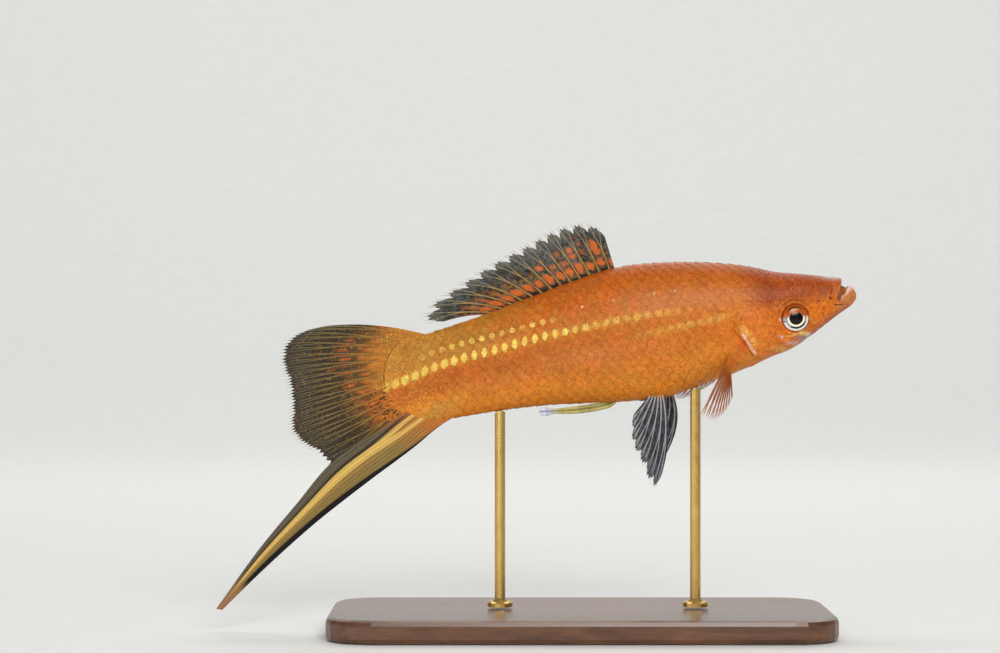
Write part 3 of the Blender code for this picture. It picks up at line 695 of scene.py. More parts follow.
def tail_rings(shares):
    """Gives rings that bend from a flat cut to the arc on which the body ends."""
    turns = np.linspace(0, math.pi, DENSE)
    lines = []
    for share in shares:
        place = np.full(DENSE, STEM_START + 9 * share)
        for _ in range(6):
            height = body_points(place, turns)[:, 2]
            place = STEM_START + (tail_arc(height) - STEM_START) * share
        lines.append(body_points(place, turns))
    return resample(np.array(lines), HALF_RING)


def skin_hits(directions):
    """Finds where rays from the snout's hub meet the skin."""
    near = np.zeros(len(directions))
    far = np.full(len(directions), 14.0)
    for _ in range(36):
        middle = (near + far) / 2
        point = SNOUT_HUB + directions * middle[:, None]
        back, belly, half_width, level, above, below = section(point[:, 0])
        up = point[:, 2] - level
        fullness = np.where(up > 0, above, below)
        tall = np.where(up > 0, back - level, level - belly)
        value = (np.abs(up) / tall) ** fullness + (np.abs(point[:, 1]) / half_width) ** fullness
        inside = (value < 1) & (point[:, 0] > 0)
        near = np.where(inside, middle, near)
        far = np.where(inside, far, middle)
    return SNOUT_HUB + directions * near[:, None]


def dome_rings():
    """Gives rings from the mouth's rim back over the snout to the first flat ring."""
    first = half_rings([DOME_END])[0] - SNOUT_HUB
    first /= np.linalg.norm(first, axis=-1, keepdims=True)
    edge = resample(line_through(*MOUTH_RIM)(np.linspace(0, 1, 400))[None], HALF_RING)[0]
    rim = edge - SNOUT_HUB
    rim /= np.linalg.norm(rim, axis=-1, keepdims=True)
    angle = np.arccos(np.clip((first * rim).sum(-1), -1, 1))[:, None]
    rings = []
    for share in np.arange(DOME_RINGS) / DOME_RINGS:
        ways = (rim * np.sin((1 - share) * angle) + first * np.sin(share * angle)) / np.sin(angle)
        rings.append(skin_hits(ways))
    rings = np.array(rings)
    fade = np.clip(1 - np.arange(DOME_RINGS) / RIM_RINGS, 0, 1)[:, None, None] ** 2
    rings += (edge - rings[0]) * fade
    for _ in range(10):
        inner = (rings[:-2] + rings[2:]) / 4 + rings[1:-1] / 2
        rings[1:-1] = inner
        rings[:, 1:-1] = (rings[:, :-2] + rings[:, 2:]) / 4 + rings[:, 1:-1] / 2
        rings[:, (0, -1), 1] = 0
    return rings


def even_out(rows, times):
    """Smooths directions along a half ring that mirrors itself at both ends."""
    mirror = np.array((1, -1, 1))
    for _ in range(times):
        before = np.concatenate((rows[1:2] * mirror, rows[:-1]))
        after = np.concatenate((rows[1:], rows[-2:-1] * mirror))
        rows = rows / 2 + (before + after) / 4
    return rows


def outer_skin():
    """Gives the rings from the mouth's rim to past the tail arc: first smooth, then with their relief."""
    fine = half_rings(np.arange(DOME_END, FINE_END, FINE_STEP))
    coarse = half_rings(np.linspace(FINE_END, STEM_START, COARSE_RINGS))
    tail = tail_rings(np.linspace(0, 1, TAIL_RINGS)[1:])
    reaches = np.linspace(0, TAIL_TAPER, TAPER_RINGS)[1:]
    taper = [thin_tail(tail[-1] + np.array((reach, 0, 0))) for reach in reaches]
    flat = np.concatenate((dome_rings(), fine, coarse, tail, np.array(taper)))
    along = flat[..., 0]
    height = flat[..., 2]
    normals = grid_normals(flat)
    normals[:, (0, -1), 1] = 0
    rise = head_relief(flat) * (along < RELIEF_END)
    covered = ease((along - 11) / 3)
    covered = covered * np.where(along < 21, ease(gill_distance(along, height) / 0.4), 1.0)
    past_arc = ease((along - tail_arc(height)) / TAIL_TAPER)
    rise += SKIN_DEPTH * covered * (1 - past_arc)
    lip = np.linalg.norm(flat - flat[:1], axis=-1)
    rise += 0.10 * np.exp(-((lip / 0.55) ** 2)) * (along < 5)
    outer = flat + normals * rise[..., None]
    outer[:, (0, -1), 1] = 0
    return flat, outer


def mouth_lining(outer, share):
    """Gives the rings that roll over the lips and run back into the mouth, the deepest first."""
    rim = outer[0]
    tangent = np.gradient(rim, axis=0)
    tangent /= np.linalg.norm(tangent, axis=-1, keepdims=True)
    away = even_out(outer[3] - rim, 24)
    away -= tangent * (away * tangent).sum(-1, keepdims=True)
    away /= np.linalg.norm(away, axis=-1, keepdims=True)
    out = np.cross(tangent, away)
    out *= np.sign((out * (rim - SNOUT_HUB)).sum(-1, keepdims=True))
    out = even_out(out, 24)
    out /= np.linalg.norm(out, axis=-1, keepdims=True)
    lips = (UPPER_LIP, UPPER_LIP * 0.8, CORNER_LIP, LOWER_LIP * 0.8, LOWER_LIP)
    radius = smooth((0, 0.3, 0.5, 0.7, 1), lips, share)[:, None]
    centre = rim - out * radius
    rings = []
    for turn in np.linspace(0, 0.8 * math.pi, 9)[1:]:
        rings.append(centre + radius * (out * math.cos(turn) - away * math.sin(turn)))
    rolled = rings[-1]
    slot = line_through(*MOUTH_SLOT)(share)
    for step in (0.15, 0.35, 0.55, 0.75, 0.9, 1.0):
        sag = out * 0.10 * math.sin(math.pi * step)
        rings.append(rolled + (slot - rolled) * step - sag)
    for step in (0.10, 0.22, 0.36, 0.5, 0.66, 0.82):
        rings.append(slot + (MOUTH_APEX - slot) * step)
    inner = np.array(rings[::-1])
    inner[:, (0, -1), 1] = 0
    return inner


def paint_skin(places, share, mouth_rings):
    """Gives the colour of the skin's rings, with the lips, the inside of the mouth and its corner slit, and
    painted shade deep in the mouth and in the slit.
    """
    ring = np.arange(len(places))[:, None] - mouth_rings
    paint = paint_fish(places)
    lip_share = np.where(ring < 0, 1.0, np.exp(-((ring / 3.0) ** 2)))
    lower = ease((share - 0.58) / 0.06)
    upper = 1 - ease((share - 0.40) / 0.05)
    lips = blend(LIP_PINK, LIP_PALE, lower)
    paint = paint + (lips - paint) * (lip_share * (0.85 * lower + 0.7 * upper))[..., None]
    paint = blend(paint, MOUTH_BROWN, ease((-5 - ring) / 3.0))
    paint = blend(paint, MOUTH_RED, np.exp(-(((ring + 9) / 1.4) ** 2)) * upper)
    # painted shade: the lining turns near black deep inside the mouth
    paint = blend(paint, MOUTH_SHADE, ease((-12 - ring) / 2.5))
    # painted shade in the slit under the mouth's corner
    slit = along_line(places[..., 0], places[..., 2], ((3.68, -1.04), (2.56, -1.28)), 0.16)
    return blend(paint, MOUTH_SHADE, slit * (ring >= 0) * 0.9)


def skin_piece(material):
    """The skin in one piece, from inside the mouth over the lips and the body to the tail fin's root."""
    share = np.linspace(0, 1, HALF_RING)
    flat, outer = outer_skin()
    inner = mouth_lining(outer, share)
    half = np.concatenate((inner, outer))
    paint = paint_skin(np.concatenate((inner, flat)), share, len(inner))
    full = np.concatenate((half, half[:, -2:0:-1] * np.array((1, -1, 1))), 1)
    paint = np.concatenate((paint, paint[:, -2:0:-1]), 1)
    columns, rows = full.shape[:2]
    around, length = np.broadcast_arrays(np.arange(rows) / rows, np.arange(columns)[:, None] / (columns - 1))
    piece = Piece()
    ends = np.array(((MOUTH_APEX + full[0].mean(0)) / 2, full[-1].mean(0)))
    points = np.concatenate((full.reshape(-1, 3), ends))
    faces = grid_faces(columns, rows, closed=True) + cap_faces(columns, rows)
    maps = np.stack((around, length), -1).reshape(-1, 2)
    maps = np.concatenate((maps, ((0.5, 0.0), (0.5, 1.0))))
    # the point that closes the mouth's end is painted shade; the tail's end takes the belly's colour
    paint = np.concatenate((paint.reshape(-1, 3), (MOUTH_SHADE, BELLY_ORANGE)))
    piece.add(points, faces, {"skin_map": maps}, {"tint": paint, "lie": lie_of(points)})
    skin = piece.finish("body_skin", [material])
    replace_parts(skin, "head", "lower_jaw", "gill_cover_right", "gill_cover_left", "torso", "tail_stem")
    return skin


# Node helpers.


def feed(tree, socket, value):
    """Links another node's output to a socket, or sets the socket's value."""
    if isinstance(value, bpy.types.NodeSocket):
        tree.links.new(value, socket)
    else:
        socket.default_value = value


def put(tree, kind, inputs=None, **settings):
    """Adds a node; an input is a value or another node's output."""
    node = tree.nodes.new(kind)
    for name, value in settings.items():
        setattr(node, name, value)
    for name, value in (inputs or {}).items():
        feed(tree, node.inputs[name], value)
    return node


def start_material(name):
    material = bpy.data.materials.new(name)
    material.use_nodes = True
    tree = material.node_tree
    return material, tree, tree.nodes["Principled BSDF"]


def link_shader(tree, shader, inputs):
    for name, value in inputs.items():
        feed(tree, shader.inputs[name], value)


def math_node(tree, operation, *values):
    node = put(tree, "ShaderNodeMath", operation=operation)
    for socket, value in zip(node.inputs, values):
        feed(tree, socket, value)
    return node.outputs[0]


def mix_colours(tree, share, first, second):
    """Mixes two colours by a share of the second."""
    node = put(tree, "ShaderNodeMix", data_type="RGBA")
    sockets = (node.inputs["Factor"], *(s for s in node.inputs if s.type == "RGBA"))
    for socket, value in zip(sockets, (share, first, second)):
        feed(tree, socket, value)
    return next(s for s in node.outputs if s.type == "RGBA")


def painted(tree, name, output="Color"):
    """Reads one of the values painted on a piece's points."""
    return put(tree, "ShaderNodeAttribute", attribute_name=name).outputs[output]


def own_place(tree):
    return put(tree, "ShaderNodeTexCoord").outputs["Object"]


def noise_node(tree, place, scale, detail, **more):
    """Gives noise at a place; more names other inputs of the texture."""
    inputs = {"Vector": place, "Scale": scale, "Detail": detail, **more}
    return put(tree, "ShaderNodeTexNoise", inputs).outputs[0]


def bump_node(tree, height, strength, distance):
    inputs = {"Height": height, "Strength": strength, "Distance": distance}
    return put(tree, "ShaderNodeBump", inputs).outputs[0]


def fresh_group(name, inputs, outputs):
    """Starts a node group; each socket is a name, a kind and, for an input, its first value."""
    group = bpy.data.node_groups.new(name, "ShaderNodeTree")
    for label, kind, value in inputs:
        socket = group.interface.new_socket(label, in_out="INPUT", socket_type="NodeSocket" + kind)
        if value is not None:
            socket.default_value = value
    for label, kind in outputs:
        group.interface.new_socket(label, in_out="OUTPUT", socket_type="NodeSocket" + kind)
    return group, group.nodes.new("NodeGroupInput"), group.nodes.new("NodeGroupOutput")


def range_node(tree, value, low, high):
    """Rises smoothly from 0 to 1 as a value passes from low to high."""
    inputs = {"Value": value, "From Min": low, "From Max": high}
    return put(tree, "ShaderNodeMapRange", inputs, interpolation_type="SMOOTHSTEP").outputs[0]


def short_names(tree):
    """Gives short names for one tree's sums, products of several values and smooth steps."""

    def calc(operation, *values):
        return math_node(tree, operation, *values)

    def times(product, *others):
        for value in others:
            product = calc("MULTIPLY", product, value)
        return product

    def step(value, low, high):
        return range_node(tree, value, low, high)

    return calc, times, step


def grain_group():
    """Fine lumps at two sizes, which vary a colour, a roughness and a height."""
    inputs = (
        ("Color", "Color", (0.5, 0.5, 0.5, 1)),
        ("Scale", "Float", 1500.0),
        ("Contrast", "Float", 0.2),
        ("Roughness", "Float", 0.4),
        ("Roughness Spread", "Float", 0.1),
    )
    outputs = (("Color", "Color"), ("Roughness", "Float"), ("Height", "Float"))
    group, start, end = fresh_group("fine_grain", inputs, outputs)
    calc, times, _ = short_names(group)
    own = own_place(group)
    scale = start.outputs["Scale"]
    coarse = noise_node(group, own, scale, 3.0)
    small = noise_node(group, own, times(scale, 3.7), 2.0)
    height = calc("MULTIPLY_ADD", small, 0.5, coarse)
    centred = calc("SUBTRACT", height, 0.75)
    share = calc("MULTIPLY_ADD", centred, start.outputs["Contrast"], 1.0)
    scaled = put(group, "ShaderNodeVectorMath", operation="SCALE")
    feed(group, scaled.inputs[0], start.outputs["Color"])
    feed(group, scaled.inputs["Scale"], share)
    rough = calc("MULTIPLY_ADD", centred, start.outputs["Roughness Spread"], start.outputs["Roughness"])
    for name, value in (("Color", scaled.outputs[0]), ("Roughness", rough), ("Height", height)):
        group.links.new(value, end.inputs[name])
    return group


GRAIN = grain_group()


def use_grain(tree, tone, scale, contrast, roughness, spread):
    """Adds the grain to a colour."""
    node = tree.nodes.new("ShaderNodeGroup")
    node.node_tree = GRAIN
    values = (("Color", tone), ("Scale", scale), ("Contrast", contrast))
    values += (("Roughness", roughness), ("Roughness Spread", spread))
    for name, value in values:
        feed(tree, node.inputs[name], value)
    return node


def link_grained(tree, shader, grain, strength, distance, more):
    """Gives a shader the grain's colour, roughness and bumps of one strength and depth, and more inputs."""
    bump = bump_node(tree, grain.outputs["Height"], strength, distance)
    own = {"Base Color": grain.outputs["Color"], "Roughness": grain.outputs["Roughness"], "Normal": bump}
    link_shader(tree, shader, {**own, **more})


def marks_group():
    """The gold marks on each scale of the band, the rings and dots above it and the specks below it."""
    outputs = (("Gold", "Float"), ("Pale", "Float"), ("Specks", "Float"))
    group, start, end = fresh_group("flank_marks", (("Lie", "Vector", None),), outputs)
    calc, times, step = short_names(group)
    split = put(group, "ShaderNodeSeparateXYZ", {0: start.outputs["Lie"]})
    along, level = split.outputs[0], split.outputs[1]
    own = own_place(group)
    grain = noise_node(group, own, 4600.0, 2.0)
    lumps = noise_node(group, own, 900.0, 2.0)
    dust = noise_node(group, own, 7000.0, 1.0)

    shifted = calc("MULTIPLY_ADD", along, 1 / SCALE_PITCH, -FIRST_MARK / SCALE_PITCH + 0.5)
    number = calc("FLOOR", shifted)
    place = calc("MULTIPLY_ADD", calc("SUBTRACT", shifted, number), SCALE_PITCH, -SCALE_PITCH / 2)
    chance = put(group, "ShaderNodeTexWhiteNoise", {"W": number}, noise_dimensions="1D").outputs["Value"]
    ragged = calc("MULTIPLY_ADD", grain, 2.6, -1.3)
    leaned = calc("MULTIPLY_ADD", level, 0.14, place)
    clump = times(leaned, 1.25)

    def between(low, full, fading, gone):
        """Rises along the fish from low to full, and falls again from fading to gone."""
        return times(step(along, low, full), step(along, gone, fading))

    def by_chance(spread, least):
        """Gives each scale's own strength."""
        return calc("MULTIPLY_ADD", chance, spread, least)

    def from_centre(height):
        """Gives how far a place is from the middle of its scale, at one height over the band."""
        up = calc("SUBTRACT", level, height)
        return calc("SQRT", calc("ADD", times(place, place), times(up, up)))

    def cloud(up, limit):
        """Gives ragged clumps of gold round one height."""
        reach = calc("MULTIPLY_ADD", up, up, calc("MULTIPLY_ADD", clump, clump, times(ragged, 1.5)))
        return step(calc("MULTIPLY_ADD", lumps, -2.4, calc("ADD", reach, limit)), 0.75, 0.15)

    across = calc("DIVIDE", leaned, calc("MULTIPLY_ADD", step(along, 56.0, 66.0), 0.22, 0.42))
    up = calc("DIVIDE", level, calc("MULTIPLY_ADD", step(along, 38.0, 48.0), 0.28, 0.46))
    reach = calc("ADD", times(across, across), times(up, up))
    mark = step(calc("ADD", reach, ragged), 1.25, 0.45)
    main = times(mark, times(between(36.0, 47.0, 70.0, 74.0), by_chance(0.35, 0.75)))

    upper = cloud(calc("DIVIDE", level, 0.80), 1.35)
    upper = times(upper, times(between(23.0, 34.0, 40.0, 50.0), by_chance(0.45, 0.30)))

    low_line = calc("ADD", level, calc("MULTIPLY_ADD", along, 0.09, -0.19))
    lower = cloud(calc("DIVIDE", low_line, 0.75), 1.45)
    lower = times(lower, times(between(17.5, 21.0, 32.0, 37.0), by_chance(0.35, 0.15)))

    ring = calc("ABSOLUTE", calc("SUBTRACT", from_centre(2.13), 0.24))
    ring = step(calc("MULTIPLY_ADD", ragged, 0.26, ring), 0.24, 0.04)
    ring = times(ring, times(between(44.0, 46.0, 65.0, 67.0), by_chance(0.7, 0.30)))

    dusting = times(step(dust, 0.64, 0.71), between(62.0, 68.0, 69.0, 75.0))
    gold = main
    for more in (upper, lower, ring, dusting):
        gold = calc("MAXIMUM", gold, more)
    dot = step(from_centre(3.05), 0.26, 0.12)
    dot = times(dot, times(between(25.0, 27.0, 41.0, 43.0), step(chance, 0.35, 0.9)))
    stripe = times(step(level, -0.5, -1.2), step(level, -5.2, -3.8), step(along, 40.0, 58.0))
    specks = times(step(dust, 0.36, 0.30), calc("MULTIPLY_ADD", stripe, 0.75, 0.12))
    for name, value in (("Gold", gold), ("Pale", dot), ("Specks", specks)):
        group.links.new(value, end.inputs[name])
    return group


MARKS = marks_group()


def flank_colour(tree, tone):
    """Adds the flank's marks to a colour; gives the colour and the share of gold."""
    marks = tree.nodes.new("ShaderNodeGroup")
    marks.node_tree = MARKS
    tree.links.new(painted(tree, "lie", "Vector"), marks.inputs["Lie"])
    fleck = noise_node(tree, own_place(tree), 2700.0, 4.0, Roughness=0.75)
    light = math_node(tree, "MULTIPLY", range_node(tree, fleck, 0.52, 0.72), 0.42)
    dark = math_node(tree, "MULTIPLY", range_node(tree, fleck, 0.48, 0.30), 0.60)
    for share, shade in (
        (light, rgba(240, 160, 72)),
        (dark, rgba(140, 50, 14)),
        (marks.outputs["Specks"], (*SPECK_BROWN, 1)),
        (marks.outputs["Pale"], rgba(240, 204, 160)),
    ):
        tone = mix_colours(tree, share, tone, shade)
    gold = mix_colours(tree, fleck, rgba(206, 158, 44), rgba(255, 236, 124))
    return mix_colours(tree, marks.outputs["Gold"], tone, gold), marks.outputs["Gold"]


def link_flesh(tree, shader, tint, contrast, roughness, through):
    """Gives the skin or the scales their marks, their grain, a wet coat and the light that goes through."""
    tone, gold = flank_colour(tree, tint)
    grain = use_grain(tree, tone, 1500.0, contrast, roughness, 0.25)
    more = {
        "Metallic": math_node(tree, "MULTIPLY", gold, 0.35),
        "Subsurface Weight": through,
        "Subsurface Radius": (0.0010, 0.0004, 0.0002),
        "Subsurface Scale": 1.0,
        "Coat Weight": 0.03,
        "Coat Roughness": 0.2,
        "Specular IOR Level": 0.16,
    }
    link_grained(tree, shader, grain, 0.5, 0.00006, more)


def skin_material():
    material, tree, shader = start_material("wet_orange_skin")
    link_flesh(tree, shader, painted(tree, "tint"), 0.75, 0.46, 0.10)
    return material


# The scales.

COAT_STEP = 0.25
SCALE_LENGTH = 2.30
SCALE_HALF_HEIGHT = 1.16
SCALE_THICKNESS = 0.045
SCALE_SLOPE = 0.062
SCALE_ROOT_LIFT = -0.115
RIDGE_LIFT = 0.02
FIRST_SCALE = 6.6
LAST_SCALE_END = 71.2
EYE_CLEARANCE = 2.75
PLATE_ACROSS = (-1.0, -0.88, -0.62, -0.32, 0.0, 0.32, 0.62, 0.88, 1.0)
PLATE_ALONG = (0.0, 0.42, 0.74, 1.0)
BAKE_PATCH = 0.003
BAKE_LENGTH = 72.0

# The parts of the back's ridge and of the belly's ridge that a row of scales runs on.
RIDGE_RUNS = (((0.0, 33.2), (56.6, 80.0)), ((17.5, 33.5), (47.0, 60.5)))


class Coat:
    """Places on the body by how far along it they are, and how far across from the gold band's row."""

    def __init__(self):
        self.places = np.arange(6.0, 70.3, COAT_STEP)
        self.turns = np.linspace(0, math.pi, 361)
        rings = body_points(self.places[:, None], self.turns[None, :])
        steps = np.linalg.norm(np.diff(rings, axis=1), axis=-1)
        lengths = np.concatenate((np.zeros((len(rings), 1)), np.cumsum(steps, 1)), 1)
        across = []
        for place, ring, length in zip(self.places, rings, lengths):
            zero = np.interp(-band_height(place), -ring[:, 2], length)
            across.append(zero - length)
        self.across = np.array(across)

    def limits(self, along):
        """Gives how far across the back and the belly are at one place."""
        index = int(np.clip(round((along - self.places[0]) / COAT_STEP), 0, len(self.places) - 1))
        return self.across[index][0], self.across[index][-1]

    def turn(self, along, across):
        """Gives the turn of one place; past the back or the belly it runs on down the other side."""
        top, bottom = self.limits(along)
        if across > top:
            return -self.turn(along, 2 * top - across)
        if across < bottom:
            return 2 * math.pi - self.turn(along, 2 * bottom - across)
        place = np.clip((along - self.places[0]) / COAT_STEP, 0, len(self.places) - 1.001)
        index = int(place)
        part = place - index
        first = np.interp(-across, -self.across[index], self.turns)
        second = np.interp(-across, -self.across[index + 1], self.turns)
        return first + (second - first) * part


def coat_size(along):
    """Gives how much smaller the scales are towards the snout."""
    return 0.56 + 0.44 * float(ease((along - 7) / 13))


def scale_surface(coat, row_line, along, size, shift, lift):
    """Gives one scale's places on the skin, its own upper and lower points, and its own flat map."""
    places = []
    local = []
    for b in PLATE_ACROSS:
        for a in PLATE_ALONG:
            length = SCALE_LENGTH * size * a * (1 - 0.30 * abs(b) ** 2.6 * a)
            wide = SCALE_HALF_HEIGHT * size * b * (0.84 + 0.16 * math.sin(math.pi * min(1.2 * a, 1.0)))
            place = along + length
            cross = row_line(place) + wide + shift * length
            rise = SCALE_ROOT_LIFT + SCALE_SLOPE * length - 0.02 * b * b + lift
            places.append((place, coat.turn(place, cross), rise))
            local.append((a, (b + 1) / 2))
    places = np.array(places)
    skin = body_points(places[:, 0], places[:, 1])
    ahead = body_points(places[:, 0] + 0.05, places[:, 1]) - skin
    around = body_points(places[:, 0], places[:, 1] + 0.01) - body_points(places[:, 0], places[:, 1] - 0.01)
    normal = np.cross(ahead, around)
    normal /= np.maximum(np.linalg.norm(normal, axis=-1, keepdims=True), 1e-9)
    rise = places[:, 2]
    if along < RELIEF_END:
        rise = rise + head_relief(skin)
    skin_thin = thin_tail(skin)
    upper = skin_thin + normal * rise[:, None]
    lower = skin_thin + normal * (rise[:, None] - SCALE_THICKNESS)
    return skin, places, upper, lower, np.array(local)


def scale_allowed(skin, along):
    """Tells whether a scale would lie clear of the eye, the snout and the gill cover's free edge."""
    if along > RELIEF_END:
        return True
    places, heights = skin[:, 0], skin[:, 2]
    if np.hypot(places - EYE_ALONG, heights - EYE_HEIGHT).min() < EYE_CLEARANCE:
        return False
    edge = gill_distance(places, heights)
    rear = (places > 14.5) & (heights < 1.6)
    inside = (edge < -0.10).all() or not rear.any()
    outside = edge.min() > 0.12 and places[0] > 14.5
    upper = heights.min() > 0.9
    if upper:
        return along > FIRST_SCALE
    if outside:
        return heights.min() > -8.3 or along > 18.5
    return bool(inside and along > 10.2 and heights.min() > -5.9)


def scale_tone(draw, skin, along):
    """Gives a scale's own change of colour."""
    tone = 1 + draw.uniform(-0.05, 0.05)
    tone = tone * np.array((1.0, 1 + draw.uniform(-0.03, 0.03), 1 + draw.uniform(-0.06, 0.06)))
    height = float(skin[4, 2])
    if height > 3.5 and 30 < along < 58 and draw.random() < 0.35:
        tone = tone * np.array((1.10, 0.93, 0.72))
    return tone


def row_line(coat, side, row):
    """Gives a function for how far across one row of scales lies, at a place along the fish."""
    if side:
        return lambda place: row * ROW_SPACING * coat_size(place)
    return lambda place: coat.limits(place)[row]


def scale_fits(coat, side, row, line, along):
    """Tells whether one row has room for a scale at a place, before the arc where the body ends."""
    length = SCALE_LENGTH * coat_size(along)
    margin = 0.5 * coat_size(along)
    top, bottom = coat.limits(along + length / 2)
    if side and not bottom + margin < line(along + length / 2) < top - margin:
        return False
    if not side and not any(start < along < end for start, end in RIDGE_RUNS[row]):
        return False
    height = body_points(along, coat.turn(along + length, line(along + length)))[2]
    return along + SCALE_LENGTH < tail_arc(height) + (1.3 if side else 0.4)


def add_scale(piece, coat, draw, side, row, line, along):
    """Adds one scale, unless it would lie over the eye, the snout or the gill cover's edge."""
    lift = draw.uniform(-0.006, 0.006) + (0.0 if side else RIDGE_LIFT)
    size = coat_size(along) * (1 + draw.uniform(-0.025, 0.025))
    shift = draw.uniform(-0.02, 0.02)
    skin, places, upper, lower, local = scale_surface(coat, line, along, size, shift, lift)
    if not scale_allowed(skin, along):
        return
    paint = np.clip(paint_fish(skin) * scale_tone(draw, skin, along), 0, 1)
    around = places[0, 1] / (2 * math.pi)
    if side < 0:
        around = 1 - around
    if not side:
        around = (0.002, 0.5)[row]
    bake = np.array((around, along / BAKE_LENGTH)) + (local - 0.5) * BAKE_PATCH
    faces = sheet_faces(len(PLATE_ACROSS), len(PLATE_ALONG))
    if side < 0:
        faces = [face[::-1] for face in faces]
    points = np.concatenate((upper, lower)) * np.array((1, -1 if side < 0 else 1, 1))
    maps = twice({"OFBake": bake, "scale_map": local}, len(local))
    paints = twice({"tint": paint, "lie": lie_of(skin)}, len(local))
    piece.add(points, faces, maps, paints)


def scales_pieces(material):
    """The scales of each flank in rows along the gold band, and one row on each ridge, back and belly."""
    coat = Coat()
    for side, name in ((-1, "scales_right"), (1, "scales_left"), (0, "scales_ridge")):
        draw = random.Random(7 + side)
        piece = Piece()
        for row in range(-18, 19) if side else (0, 1):
            line = row_line(coat, side, row)
            along = LAST_SCALE_END - (SCALE_PITCH / 2 if row % 2 else 0.0) - SCALE_LENGTH
            while along > FIRST_SCALE:
                if scale_fits(coat, side, row, line, along):
                    add_scale(piece, coat, draw, side, row, line, along)
                along -= SCALE_PITCH * coat_size(along)
        piece.finish(name, [material], 40)


def scale_material():
    """The scales, with a faint dark net at their edges."""
    material, tree, shader = start_material("orange_scales")
    calc, times, step = short_names(tree)
    place = put(tree, "ShaderNodeUVMap", uv_map="scale_map").outputs[0]
    split = put(tree, "ShaderNodeSeparateXYZ", {0: place})
    across = calc("MULTIPLY_ADD", split.outputs[1], 2.0, -1.0)
    back = calc("MULTIPLY_ADD", times(across, across), 0.16, split.outputs[0])
    edge = times(step(back, 0.80, 1.02), 0.22)
    edged = mix_colours(tree, edge, painted(tree, "tint"), rgba(128, 60, 22))
    link_flesh(tree, shader, edged, 0.65, 0.42, 0.08)
    return material


# The eyes.


def eye_frame(side):
    """Gives the eye's centre on the skin and its three directions: back, up and out of the head."""
    middle = np.array((EYE_ALONG, body_side(EYE_ALONG, EYE_HEIGHT), EYE_HEIGHT))
    ahead = np.array((EYE_ALONG + 1.5, body_side(EYE_ALONG + 1.5, EYE_HEIGHT), EYE_HEIGHT))
    behind = np.array((EYE_ALONG - 1.5, body_side(EYE_ALONG - 1.5, EYE_HEIGHT), EYE_HEIGHT))
    back = ahead - behind
    back[1] *= 0.6
    back /= np.linalg.norm(back)
    out = np.cross((0.0, 0.0, 1.0), back)
    out *= np.sign(out[1])
    up = np.cross(out, back)
    up *= np.sign(up[2])
    flip = np.array((1, side, 1))
    return middle * flip, back * flip, up * flip, out * flip


def eye_piece(side, name, node, material):
    """An eyeball: a domed clear surface over the iris, with the lens standing out of the pupil."""
    middle, back, up, out = eye_frame(side)
    profile = (
        (0.0, 0.47),
        (0.30, 0.46),
        (0.60, 0.43),
        (0.86, 0.38),
        (0.98, 0.33),
        (1.06, 0.30),
        (1.20, 0.27),
        (1.45, 0.19),
        (1.70, 0.06),
        (1.88, -0.09),
        (2.00, -0.25),
        (2.08, -0.48),
        (1.95, -0.85),
        (1.50, -1.15),
        (0.80, -1.32),
        (0.0, -1.38),
    )
    points = []
    maps = []
    for radius, rise in profile[1:-1]:
        for sector in range(EYE_SECTORS):
            turn = 2 * math.pi * sector / EYE_SECTORS
            x = radius * math.cos(turn)
            y = radius * math.sin(turn)
            points.append(middle + back * x + up * y + out * rise)
            maps.append((0.5 + x / EYE_MAP_WIDTH, 0.5 + y / EYE_MAP_WIDTH))
    rings = len(profile) - 2
    points.append(middle + out * profile[0][1])
    points.append(middle + out * profile[-1][1])
    maps += [(0.5, 0.5), (0.5, 0.5)]
    faces = grid_faces(rings, EYE_SECTORS, closed=True) + cap_faces(rings, EYE_SECTORS)
    if side > 0:
        faces = [face[::-1] for face in faces]
    piece = Piece()
    piece.add(points, faces, {"eye_map": maps})
    eye = piece.finish(name, [material])
    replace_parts(eye, node)
    return eye


